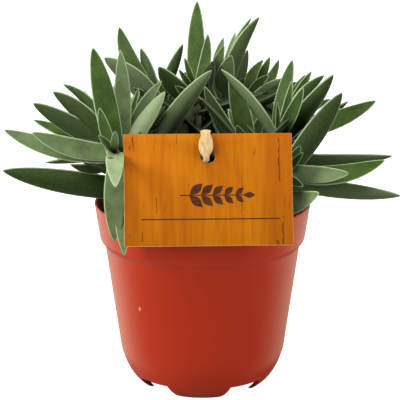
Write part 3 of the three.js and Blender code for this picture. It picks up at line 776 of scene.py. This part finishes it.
# Dark cracks in the board: place across the card, lowest and highest point, half width, in millimetres
CRACKS = [
    (37.2, 4, 27, 0.5),
    (38.6, -29, -14, 0.6),
    (17.5, -12, 12, 0.25),
    (-27, -12, -4, 0.3),
    (-39, 20, 28, 0.5),
    (-34.5, -27, -22, 0.35),
    (-16.5, 24, 29, 0.4),
    (36.0, -29, -27, 0.6),
]


def make_wood_print():
    """Orange-brown board with upright grain, darker towards its edges, with a few dark cracks."""
    material, tree, shader = new_material("wood grain board")
    brown, orange = (0.33, 0.082, 0.002, 1), (0.46, 0.145, 0.003, 1)
    grain_line, edge, burnt = (0.22, 0.048, 0.002, 1), (0.32, 0.070, 0.002, 1), (0.075, 0.022, 0.006, 1)
    card = uv_vector(tree, "card")
    broad = mottle(tree, uv_vector(tree, "card", (1, 0.08, 1)), scale=70.0, fine_share=0.35)
    lines = mottle(tree, uv_vector(tree, "card", (1, 0.03, 1)), scale=900.0, fine_share=0.3)
    marks = noise(tree, uv_vector(tree, "card", (1, 0.14, 1)), scale=520.0, detail=2.0)
    colour = mix_colour(tree, ramp(tree, broad, 0.32, 0.68), brown, orange)
    colour = mix_colour(tree, ramp(tree, lines, 0.5, 0.8, 0.0, 0.6), colour, grain_line)
    side = ramp(tree, math_node(tree, "ABSOLUTE", parts_of(tree, card)[0]), 0.024, 0.044, 0.0, 0.45)
    colour = mix_colour(tree, side, colour, edge)
    dark = ramp(tree, marks, 0.68, 0.76, 0.0, 0.7)
    crack = make_crack_group()
    for across, low, high, width in CRACKS:
        line = use_group(tree, crack, {"Vector": card, "Across": across * MM, "Low": low * MM,
                                       "High": high * MM, "Width": width * MM})
        dark = math_node(tree, "MAXIMUM", dark, line.outputs[0])
    colour = mix_colour(tree, dark, colour, burnt)
    set_inputs(tree, shader, {"Base Color": colour, "Roughness": 0.8, "Specular IOR Level": 0.05})
    bump(tree, shader, math_node(tree, "SUBTRACT", lines, dark), strength=0.25, distance=0.00025)
    return material


def make_plain_fibre(name, dark, light, stretch, scale, roughness, sheen=0.0):
    """A fibrous dry material, used on the cut board edge, the raffia and the burnt-in mark."""
    material, tree, shader = new_material(name)
    fibres = mottle(tree, object_vector(tree, stretch), scale, 0.5)
    colour = mix_colour(tree, ramp(tree, fibres, 0.3, 0.7), dark, light)
    set_inputs(tree, shader, {"Base Color": colour, "Roughness": roughness, "Specular IOR Level": 0.15,
                              "Sheen Weight": sheen})
    bump(tree, shader, fibres, strength=0.5, distance=0.0003)
    return material


# Pot

def pot_outline():
    """Outer outline of the pot, from the foot to the rim."""
    corner = outline_bezier([(BASE_RADIUS, 0), CORNER_PULL, CORNER], CORNER_STEPS)
    (top_radius, top_height), (collar_radius, collar_height) = BODY_TOP, COLLAR_FOOT
    step = outline_bezier([BODY_TOP, (top_radius + STEP_BULGE, top_height + 2),
                           (collar_radius - STEP_BULGE, collar_height - 3.5), COLLAR_FOOT], WALL_STEPS)
    widening, rise = top_radius - CORNER[0], top_height - CORNER[1]
    body = [(CORNER[0] + widening * i / WALL_STEPS, CORNER[1] + rise * i / WALL_STEPS)
            for i in range(1, WALL_STEPS)]
    rim = [(RIM_RADIUS - inset, POT_HEIGHT - drop) for inset, drop in RIM_ROUNDING]
    return corner + body + step + rim


def make_pot():
    outer = pot_outline()
    downwards = outer[::-1]
    floor_top = FLOOR_HEIGHT + WALL
    inner = [(radius - WALL, height) for radius, height in downwards
             if floor_top + FLOOR_CORNER_HEIGHT < height < POT_HEIGHT - RIM_LIP_HEIGHT]
    skirt = [(radius - SKIRT_WALL, height) for radius, height in downwards if height < FLOOR_HEIGHT - 1]
    underside = [(FLOOR_RADIUS - 1, FLOOR_HEIGHT), (FLOOR_RADIUS, FLOOR_HEIGHT - UNDERSIDE_ROUNDING)] + skirt
    floor_edge = [(FLOOR_RADIUS + 1, floor_top + FLOOR_ROUNDING), (FLOOR_RADIUS, floor_top)]
    inside = [(RIM_RADIUS - WALL, POT_HEIGHT - RIM_INNER_DROP)] + inner + floor_edge
    pot = drawn_up("pot_shell", underside + outer + inside, POT_SIDES)
    for cutter in make_pot_cutters():
        apply_modifier(pot, "BOOLEAN", operation="DIFFERENCE", object=cutter, solver="EXACT")
        bpy.data.objects.remove(cutter)
    close_and_turn_out(pot)
    smooth(pot, 35)
    dress(pot, make_pot_plastic())
    return pot


def make_pot_cutters():
    """Cutters for the notches between the feet, wider beside the front foot, and for the drain holes."""
    cutters = []
    half_foot = 180 / FOOT_COUNT
    for index in range(FOOT_COUNT):
        angle = math.radians(FRONT_FOOT_ANGLE + (index + 0.5) * 360 / FOOT_COUNT)
        cutters.append(make_notch_cutter(angle))
        if index == 0:
            cutters.append(make_notch_cutter(angle + SIDE_NOTCH_EXTRA))
        if index == FOOT_COUNT - 1:
            cutters.append(make_notch_cutter(angle - SIDE_NOTCH_EXTRA))
        cutters.append(make_drain_cutter(angle + math.radians(half_foot), DRAIN_RING_RADIUS))
    cutters.append(make_drain_cutter(0, 0))
    return cutters


def make_notch_cutter(angle):
    """A block narrower at its top, pushed out through the base ring between two feet."""
    cutter = add(bpy.ops.mesh.primitive_cube_add, size=1)
    tall = NOTCH_HEIGHT + 1
    select_where(cutter, lambda place: place.z > 0)
    narrowing = NOTCH_TOP_HALF_WIDTH / NOTCH_HALF_WIDTH
    bpy.ops.transform.resize(value=(narrowing, 1, 1), center_override=(0, 0, 0.5))
    stop_editing()
    cutter.scale = (2 * NOTCH_HALF_WIDTH * MM, 2 * NOTCH_REACH * MM, tall * MM)
    distance = (BASE_RADIUS + NOTCH_REACH / 2) * MM
    cutter.location = (distance * math.cos(angle), distance * math.sin(angle), (NOTCH_HEIGHT - tall / 2) * MM)
    cutter.rotation_euler = (0, 0, angle - math.pi / 2)
    set_place(cutter)
    return cutter


def make_drain_cutter(angle, radius):
    place = Vector((radius * math.cos(angle), radius * math.sin(angle), FLOOR_HEIGHT)) * MM
    cutter = add(bpy.ops.mesh.primitive_cylinder_add, vertices=DRAIN_SIDES, radius=DRAIN_RADIUS * MM,
                 depth=CUTTER_DEPTH * MM, location=place)
    set_place(cutter)
    return cutter


# Peat

def make_peat():
    floor = FLOOR_HEIGHT + WALL + CLEARANCE
    wall = [(radius - WALL - CLEARANCE, height) for radius, height in pot_outline()
            if floor + 4 < height < PEAT_HEIGHT]
    top_radius = wall[-1][0] + (PEAT_HEIGHT - wall[-1][1]) * PEAT_FLARE
    surface = [(top_radius * (1 - ring / PEAT_RINGS), PEAT_HEIGHT) for ring in range(PEAT_RINGS)]
    peat = drawn_up("root_ball", [(FLOOR_RADIUS - 1, floor)] + wall + surface, PEAT_SIDES)
    select_where(peat, lambda place: place.z > (PEAT_HEIGHT - 1) * MM
                 and math.hypot(place.x, place.y) < PEAT_ROUGH_RADIUS * MM)
    bpy.ops.transform.vertex_random(offset=PEAT_ROUGHNESS * MM, seed=PEAT_SEED)
    stop_editing()
    peat = join([peat] + make_crumbs(top_radius - 2), "peat_root_ball")
    smooth(peat, 60)
    dress(peat, make_peat_material())
    return peat


def make_crumbs(spread):
    """Small lumps and short fibres strewn over the peat, all copies of one lump."""
    lump = add(bpy.ops.mesh.primitive_ico_sphere_add, subdivisions=1, radius=1)
    draw = random.Random(CRUMB_SEED)
    crumbs = []
    for _ in range(CRUMB_COUNT):
        crumb = copy_of(lump)
        angle = draw.uniform(0, 2 * math.pi)
        radius = spread * math.sqrt(draw.random())
        size = draw.uniform(*CRUMB_SIZES)
        length = size * draw.choice(CRUMB_STRETCHES)
        middle = Vector((radius * math.cos(angle), radius * math.sin(angle), PEAT_HEIGHT + CRUMB_LIFT))
        turn = Matrix.Rotation(draw.uniform(0, math.pi), 4, "Z")
        tilt = Matrix.Rotation(draw.uniform(-CRUMB_TILT, CRUMB_TILT), 4, "Y")
        grow = Matrix.Diagonal((length * MM, size * MM, size * CRUMB_FLATNESS * MM, 1))
        crumb.data.transform(Matrix.Translation(middle * MM) @ turn @ tilt @ grow)
        crumbs.append(crumb)
    bpy.data.objects.remove(lump)
    return crumbs


# Label and tie

def label_place():
    """Where the card leans on the rim: x across it, y up it, z out of its face."""
    rim_front = -RIM_RADIUS - CLEARANCE / math.cos(LABEL_LEAN)
    middle_y = (rim_front + (LABEL_MIDDLE_HEIGHT - POT_HEIGHT) * math.tan(LABEL_LEAN)
                - LABEL_THICKNESS / 2 / math.cos(LABEL_LEAN))
    upright = Matrix.Rotation(math.pi / 2 - LABEL_LEAN, 4, "X")
    turn = Matrix.Rotation(LABEL_TURN, 4, "Z")
    return Matrix.Translation(Vector((LABEL_X, middle_y, LABEL_MIDDLE_HEIGHT)) * MM) @ turn @ upright


def make_label():
    card = add(bpy.ops.mesh.primitive_cube_add, size=1)
    card.scale = (LABEL_WIDTH * MM, LABEL_HEIGHT * MM, LABEL_THICKNESS * MM)
    set_place(card)
    punch = add(bpy.ops.mesh.primitive_cylinder_add, vertices=HOLE_SIDES, radius=HOLE_RADIUS * MM,
                depth=CUTTER_DEPTH * MM, location=(0, HOLE_Y * MM, 0))
    apply_modifier(card, "BOOLEAN", operation="DIFFERENCE", object=punch, solver="EXACT")
    bpy.data.objects.remove(punch)
    apply_modifier(card, "BEVEL", width=CARD_EDGE_ROUNDING * MM, segments=CARD_EDGE_STEPS,
                   limit_method="ANGLE")
    close_and_turn_out(card)
    write_uv(card, "card", [vertex.co.xy for vertex in card.data.vertices])
    cut_edge = make_plain_fibre(
        "cut board edge", (0.52, 0.30, 0.12, 1), (0.80, 0.58, 0.30, 1), stretch=(1, 1, 1),
        scale=700.0, roughness=0.8)
    dress(card, make_wood_print(), cut_edge)
    face_height = (LABEL_THICKNESS / 2 - 0.05) * MM
    for face in card.data.polygons:
        face.material_index = 0 if abs(face.center.z) > face_height else 1
    card.data.transform(label_place())
    card.name = "label_board"
    smooth(card, 40)
    return card


def make_sprig():
    """A plain leafy twig and a ruled line, burnt into the card, as thin closed shapes on its face."""
    x, y = SPRIG_MIDDLE
    marks = [ink_bar(x, y, SPRIG_LENGTH, TWIG_WIDTH)]
    for pair in range(SPRIG_PAIRS):
        along = x - SPRIG_LENGTH / 2 + SPRIG_START + pair * SPRIG_SPACING
        length = SPRIG_LEAF_LENGTH - SPRIG_SHORTENING * pair
        for side in (-1, 1):
            marks.append(ink_leaf(along, y, length, side * SPRIG_LEAN))
    marks.append(ink_leaf(x + SPRIG_LENGTH / 2 - 1, y, SPRIG_END_LEAF, 0))
    marks.append(ink_bar(*RULE_MIDDLE, RULE_LENGTH, RULE_WIDTH))
    sprig = join(marks, "label_mark")
    sprig.data.transform(label_place())
    close_and_turn_out(sprig)
    dress(sprig, make_plain_fibre(
        "burnt mark", (0.030, 0.009, 0.003, 1), (0.095, 0.026, 0.005, 1), stretch=(1, 1, 1),
        scale=500.0, roughness=0.7))
    return sprig


def ink_bar(x, y, length, width):
    bar = add(bpy.ops.mesh.primitive_cube_add, size=1, location=(x * MM, y * MM, LABEL_THICKNESS / 2 * MM))
    bar.scale = (length * MM, width * MM, 2 * INK_THICKNESS * MM)
    set_place(bar)
    return bar


def ink_leaf(x, y, length, lean):
    """A pointed flat leaf shape that starts on the twig."""
    leaf = add(bpy.ops.mesh.primitive_cylinder_add, vertices=20, radius=0.5, depth=1)
    for vertex in leaf.data.vertices:
        along = vertex.co.x + 0.5
        swell = math.sin(math.pi * along) ** INK_LEAF_POINTEDNESS if 0 < along < 1 else 0
        vertex.co.y = math.copysign(INK_LEAF_FULLNESS * swell, vertex.co.y)
        vertex.co.x = along
    place = Matrix.Translation(Vector((x, y, LABEL_THICKNESS / 2)) * MM)
    size = Matrix.Diagonal((length * MM, length * INK_LEAF_BREADTH * MM, 2 * INK_THICKNESS * MM, 1))
    leaf.data.transform(place @ Matrix.Rotation(lean, 4, "Z") @ size)
    return leaf


def make_tie():
    """Flat raffia band through the hole and over the card's top edge, knotted behind with two tails."""
    lowest = HOLE_Y - HOLE_RADIUS + CLEARANCE + TIE_THICKNESS / 2
    highest = LABEL_HEIGHT / 2 + CLEARANCE + TIE_THICKNESS / 2
    middle = (lowest + highest) / 2
    half_deep = LABEL_THICKNESS / 2 + TIE_THICKNESS / 2 + TIE_SLACK
    band = make_band(lowest, highest, half_deep)
    knot = add(bpy.ops.mesh.primitive_uv_sphere_add, segments=20, ring_count=14, radius=KNOT_RADIUS * MM,
               location=(0, middle * MM, (-half_deep - KNOT_STANDOFF) * MM))
    set_place(knot)
    apply_modifier(knot, "SMOOTH", factor=0.3, iterations=2)
    tails = [make_tail(side, middle, half_deep) for side in (-1, 1)]
    tie = join([band, knot] + tails, "raffia_tie")
    close_and_turn_out(tie)
    tie.data.transform(label_place())
    smooth(tie, 50)
    dress(tie, make_plain_fibre(
        "raffia", (0.42, 0.24, 0.08, 1), (0.70, 0.50, 0.26, 1), stretch=(1, 0.15, 0.3),
        scale=900.0, roughness=0.7, sheen=0.2))
    return tie


def squared_off(value):
    """Bends a circle's sine or cosine towards a rounded square."""
    return math.copysign(math.sqrt(abs(value)), value)


def make_band(lowest, highest, half_deep):
    """The band's loop: a squarish flat ring, drawn in at its ends and lined with fibres."""
    middle = (lowest + highest) / 2
    half_tall = (highest - lowest) / 2
    widest = lowest + TIE_TAPER
    band = add(bpy.ops.mesh.primitive_torus_add, major_segments=72, minor_segments=28, major_radius=1,
               minor_radius=1 / RING_THINNESS)
    for vertex in band.data.vertices:
        place = vertex.co
        around = math.atan2(place.y, place.x)
        y = middle + half_tall * squared_off(math.sin(around))
        z = half_deep * squared_off(math.cos(around))
        off = (math.hypot(place.x, place.y) - 1) * RING_THINNESS
        across = -place.z * RING_THINNESS
        widening = (1 - TIE_LOWEST_SHARE) * smoothstep(y, lowest, widest)
        broad = TIE_LOWEST_SHARE + widening - TIE_TOP_LOSS * smoothstep(y, widest, highest)
        coarse = 0.10 * math.sin(across * 9 + 0.8 * math.sin(3 * around))
        fine = 0.06 * math.sin(across * 23 + around)
        outwards = off * (TIE_THICKNESS / 2 + coarse + fine)
        normal = Vector((z / half_deep ** 2, (y - middle) / half_tall ** 2)).normalized()
        ripple = TIE_RIPPLE * math.sin(5 * around + across)
        x = across * TIE_WIDTH / 2 * broad + ripple + TIE_SHIFT
        vertex.co = Vector((x, y + normal.y * outwards, z + normal.x * outwards)) * MM
    return band


def make_tail(side, middle, half_deep):
    """One short end of the raffia, thinner at its tip."""
    half = TAIL_LENGTH / 2 * MM
    tail = add(bpy.ops.mesh.primitive_cylinder_add, vertices=12, radius=TAIL_RADIUS * MM, depth=2 * half,
               location=(0, 0, half))
    set_place(tail)
    select_where(tail, lambda place: place.z > half)
    bpy.ops.transform.resize(value=(TAIL_END_SHARE, TAIL_END_SHARE, 1), center_override=(0, 0, 2 * half))
    stop_editing()
    upright = Matrix.Rotation(-math.pi / 2, 4, "X")
    lean = Matrix.Rotation(TAIL_LIFT, 4, "X") @ Matrix.Rotation(side * TAIL_SPREAD, 4, "Z")
    start = Vector((side, middle, -half_deep - TAIL_STANDOFF)) * MM
    tail.data.transform(Matrix.Translation(start) @ lean @ upright)
    return tail


# Stems and leaves

def stem_points(shoot):
    return [Vector((*shoot["root"], PEAT_HEIGHT + CLEARANCE)), Vector(shoot["bend"]), Vector(shoot["crown"])]


def point_below_crown(shoot, drop):
    """The point on the stem's middle line that lies the given length below its crown."""
    points = stem_points(shoot)
    steps = 60
    place = bezier(points, 1)
    walked = 0
    for index in range(1, steps + 1):
        lower = bezier(points, 1 - index / steps)
        walked += (place - lower).length
        place = lower
        if walked >= drop:
            break
    return place


def make_stem(shoot):
    """A tapering stem with a swelling at each old leaf joint and a bud on top."""
    points = stem_points(shoot)
    stem = add(bpy.ops.mesh.primitive_uv_sphere_add, segments=10, ring_count=26, radius=1)
    for vertex in stem.data.vertices:
        polar = math.acos(max(-1, min(1, vertex.co.z)))
        along = 1 - polar / math.pi
        centre = bezier(points, along)
        ring = math.hypot(vertex.co.x, vertex.co.y)
        if ring > 1e-5:
            forward = bezier_tangent(points, along)
            side = Vector((0, 1, 0)).cross(forward).normalized()
            front = forward.cross(side)
            joint = STEM_JOINT_SWELLING * math.cos(along * STEM_JOINT_SPACING) ** 8
            radius = STEM_FOOT_RADIUS + (STEM_TIP_RADIUS - STEM_FOOT_RADIUS) * along + joint
            centre = centre + side * vertex.co.x / ring * radius + front * vertex.co.y / ring * radius
        vertex.co = centre * MM
    close_and_turn_out(stem)
    smooth(stem)
    return stem


LEAF_STATIONS = (0, 0.05, 0.12, 0.2, 0.3, 0.4, 0.5, 0.6, 0.69, 0.77, 0.84, 0.9, 0.945, 0.98, 1)
# Half of a leaf's section, middle to margin: share across, height of its upper face, height of its lower face
LEAF_SECTION = (
    (0, 0.05, -0.58), (0.4, 0.07, -0.47), (0.72, 0.11, -0.28), (0.92, 0.14, -0.07), (1, 0.05, 0.03))


def leaf_outline(along):
    """Half width along a leaf from base (0) to tip (1), as a share of its greatest half width."""
    if along > WIDEST_POINT:
        return (1 - ((along - WIDEST_POINT) / (1 - WIDEST_POINT)) ** 2) ** TIP_FULLNESS
    return 1 - BASE_NARROWING * ((WIDEST_POINT - along) / WIDEST_POINT) ** 2


def model_leaf():
    """The leaf that all others are copied from: one unit long on Z, one unit from middle to margin on X."""
    top = [(share, rise) for share, rise, _ in LEAF_SECTION]
    low = [(share, drop) for share, _, drop in LEAF_SECTION]
    left_low = [(-share, drop) for share, drop in low[1:]]
    left_top = [(-share, rise) for share, rise in top[:0:-1]]
    section = top + low[:0:-1] + low[:1] + left_low + left_top
    leaf = add(bpy.ops.mesh.primitive_circle_add, vertices=len(section), radius=1, fill_type="NGON")
    for vertex, (share, rise) in zip(leaf.data.vertices, section):
        vertex.co = (share, rise, 0)
    edit_all()
    size = 1
    for before, along in zip(LEAF_STATIONS, LEAF_STATIONS[1:]):
        wanted = max(TIP_SHARE, leaf_outline(along)) / leaf_outline(0)
        raise_ring(along - before, wanted / size, along)
        size = wanted
    bpy.ops.mesh.merge(type="CENTER")
    bpy.ops.mesh.select_all(action="SELECT")
    bpy.ops.transform.resize(value=(leaf_outline(0), leaf_outline(0), 1), center_override=(0, 0, 0))
    stop_editing()
    close_and_turn_out(leaf)
    smooth(leaf)
    return leaf


def grow_leaf(shoot, plan, bloom_and_painted_shade, draw):
    """A copy of the master leaf, drawn out along its own bowed line, with its own small twist and waver."""
    drop, tip, width, bow, faces = plan[:5]
    sweep = plan[5] if len(plan) > 5 else 0
    base, tip = point_below_crown(shoot, drop), Vector(tip)
    forward = (tip - base).normalized()
    upwards = Vector(faces)
    upwards = (upwards - forward * upwards.dot(forward)).normalized()
    side = forward.cross(upwards)
    spine = [base, (base + tip) / 2 + upwards * 2 * bow + side * 2 * sweep, tip]
    length = (tip - base).length
    half = width / 2
    twist = draw.uniform(-MOST_TWIST, MOST_TWIST)
    waver = draw.uniform(-MOST_WAVER, MOST_WAVER)
    leaf = copy_of(MASTER_LEAF)
    values = {"margin_mm": [], "upper": [], "along": [], "bloom_and_painted_shade": []}
    places = []
    for vertex in leaf.data.vertices:
        share, rise, along = vertex.co
        outline = max(leaf_outline(min(along, 1)), THINNEST_OUTLINE)
        values["margin_mm"].append(max(0.0, (outline - abs(share)) * half))
        values["upper"].append(1.0 if rise > THINNEST_OUTLINE * outline else 0.0)
        values["along"].append(along)
        values["bloom_and_painted_shade"].append(bloom_and_painted_shade)
        places.append((share * half * MM, along * length * MM))
        angle = twist * along
        across = side * math.cos(angle) + upwards * math.sin(angle)
        above = upwards * math.cos(angle) - side * math.sin(angle)
        sway = side * waver * math.sin(math.pi * along)
        vertex.co = (bezier(spine, along) + across * share * half + above * rise * half + sway) * MM
    for name, numbers in values.items():
        leaf.data.attributes.new(name, "FLOAT", "POINT").data.foreach_set("value", numbers)
    write_uv(leaf, "leaf", places)
    dress(leaf, LEAF_SKIN)
    return leaf


MASTER_LEAF = model_leaf()
LEAF_SKIN = make_leaf_material()
STEM_SKIN = make_stem_material()


def lower_leaves(shoot, draw):
    """Plans of the short leaves lower on a stem: opposite pairs, each a quarter turn from the last."""
    turn = draw.uniform(0, math.pi)
    plans = []
    foot, bend, crown = stem_points(shoot)
    leafy_length = (bend - foot).length + (crown - bend).length - LOWER_FIRST_DROP - LOWER_BARE_FOOT
    for pair in range(int(leafy_length / LOWER_SPACING)):
        drop = LOWER_FIRST_DROP + LOWER_SPACING * pair
        base = point_below_crown(shoot, drop)
        for half_turn in (0, math.pi):
            angle = turn + half_turn + draw.uniform(-LOWER_TURN, LOWER_TURN)
            rise = draw.uniform(*LOWER_RISES)
            outwards = Vector((math.cos(angle), math.sin(angle), 0))
            length = draw.uniform(*LOWER_LENGTH_SHARES) * LOWER_LENGTH
            tip = base + (outwards * math.cos(rise) + Vector((0, 0, math.sin(rise)))) * length
            faces = Vector((0, 0, math.cos(rise))) - outwards * math.sin(rise)
            inside = abs(tip.x) < LOWER_LIMIT and base.y - LOWER_FRONT_REACH < tip.y < LOWER_LIMIT
            if inside and tip.z < LOWER_TOP:
                plans.append((drop, tip, LOWER_WIDTH, 1, faces))
        turn += math.pi / 2
    return plans


def make_shoots():
    draw = random.Random(LEAF_SEED)
    for shoot in SHOOTS:
        name = shoot["name"]
        grown_bloom_and_painted_shade, heart_bloom_and_painted_shade = BLOOM_AND_PAINTED_SHADE.get(name, ((), ()))
        stem = make_stem(shoot)
        dress(stem, STEM_SKIN)
        plans = list(zip_longest(shoot["heart"], heart_bloom_and_painted_shade, fillvalue=0))
        # The inner and lower leaves take painted shade.
        plans += [(plan, INNER_SHADE) for owner, plan in INNER_LEAVES if owner == name]
        plans += [(plan, INNER_SHADE) for plan in lower_leaves(shoot, draw)]
        heart = [grow_leaf(shoot, plan, bloom_and_painted_shade, draw) for plan, bloom_and_painted_shade in plans]
        stem = join([stem] + heart, f"shoot_{name}")
        finish_piece(stem, "stem", f"stem_{name}")
        for index, (plan, bloom_and_painted_shade) in enumerate(zip_longest(shoot["leaves"], grown_bloom_and_painted_shade, fillvalue=0), 1):
            leaf = grow_leaf(shoot, plan, bloom_and_painted_shade, draw)
            leaf.name = f"blade_{name}_{index}"
            finish_piece(leaf, "leaf", f"leaf_{name}_{index}")
    bpy.data.objects.remove(MASTER_LEAF)


def finish_piece(piece, slot, *replaced):
    """Rides a piece on the one body and hides the parts of model.glb that it stands for. The slot is not
    used.
    """
    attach(piece, "root")
    if replaced:
        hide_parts(*replaced)


# Stage

def make_camera():
    data = bpy.data.cameras.new("camera")
    camera = bpy.data.objects.new("camera", data)
    bpy.context.scene.collection.objects.link(camera)
    forward = Vector((0, math.cos(VIEW_RISE), -math.sin(VIEW_RISE)))
    camera.location = (VIEW_TARGET - forward * VIEW_DISTANCE) * MM
    camera.rotation_euler = (math.pi / 2 - VIEW_RISE, 0, 0)
    data.sensor_width = SENSOR_WIDTH
    data.lens = PIXELS_PER_MM * VIEW_DISTANCE * SENSOR_WIDTH / PHOTO_PIXELS
    data.clip_start, data.clip_end = 0.01, 20
    bpy.context.scene.camera = camera


def make_floor():
    floor = add(bpy.ops.mesh.primitive_plane_add, size=FLOOR_SIZE, location=(0, 0, -FLOOR_DROP))
    floor.name = "floor"
    material, tree, shader = new_material("pale floor")
    seen = node(tree, "ShaderNodeLightPath").outputs["Is Camera Ray"]
    glow = math_node(tree, "MULTIPLY", seen, FLOOR_GLOW)
    set_inputs(tree, shader, {"Base Color": FLOOR_GREY, "Roughness": 1, "Specular IOR Level": 0,
                              "Emission Color": WHITE, "Emission Strength": glow})
    dress(floor, material)


def make_lamp(name, place, side, power):
    data = bpy.data.lights.new(name, "AREA")
    data.size = side
    data.energy = power
    lamp = bpy.data.objects.new(name, data)
    bpy.context.scene.collection.objects.link(lamp)
    lamp.location = place
    lamp.rotation_euler = (Vector(LIGHT_AIM) - Vector(place)).to_track_quat("-Z", "Y").to_euler()


def make_studio():
    """Light that comes mostly from behind the object, with three soft lamps in front of and above it."""
    world = bpy.data.worlds.new("studio")
    world.use_nodes = True
    tree = world.node_tree
    direction = tree.nodes.new("ShaderNodeTexCoord").outputs["Generated"]
    strength = ramp(tree, parts_of(tree, direction)[1], -0.6, 0.5, 0.02, 0.5)
    set_inputs(tree, tree.nodes["Background"], {"Color": WHITE, "Strength": strength})
    bpy.context.scene.world = world
    for lamp in LAMPS:
        make_lamp(*lamp)
    bpy.context.scene.view_settings.view_transform = "Standard"


make_camera()
finish_piece(make_pot(), "pot", "pot")
finish_piece(make_peat(), "peat", "peat")
finish_piece(make_label(), "label_card", "label_card")
finish_piece(make_sprig(), "label_card")
finish_piece(make_tie(), "label_tie", "label_tie")
make_shoots()
make_floor()
make_studio()
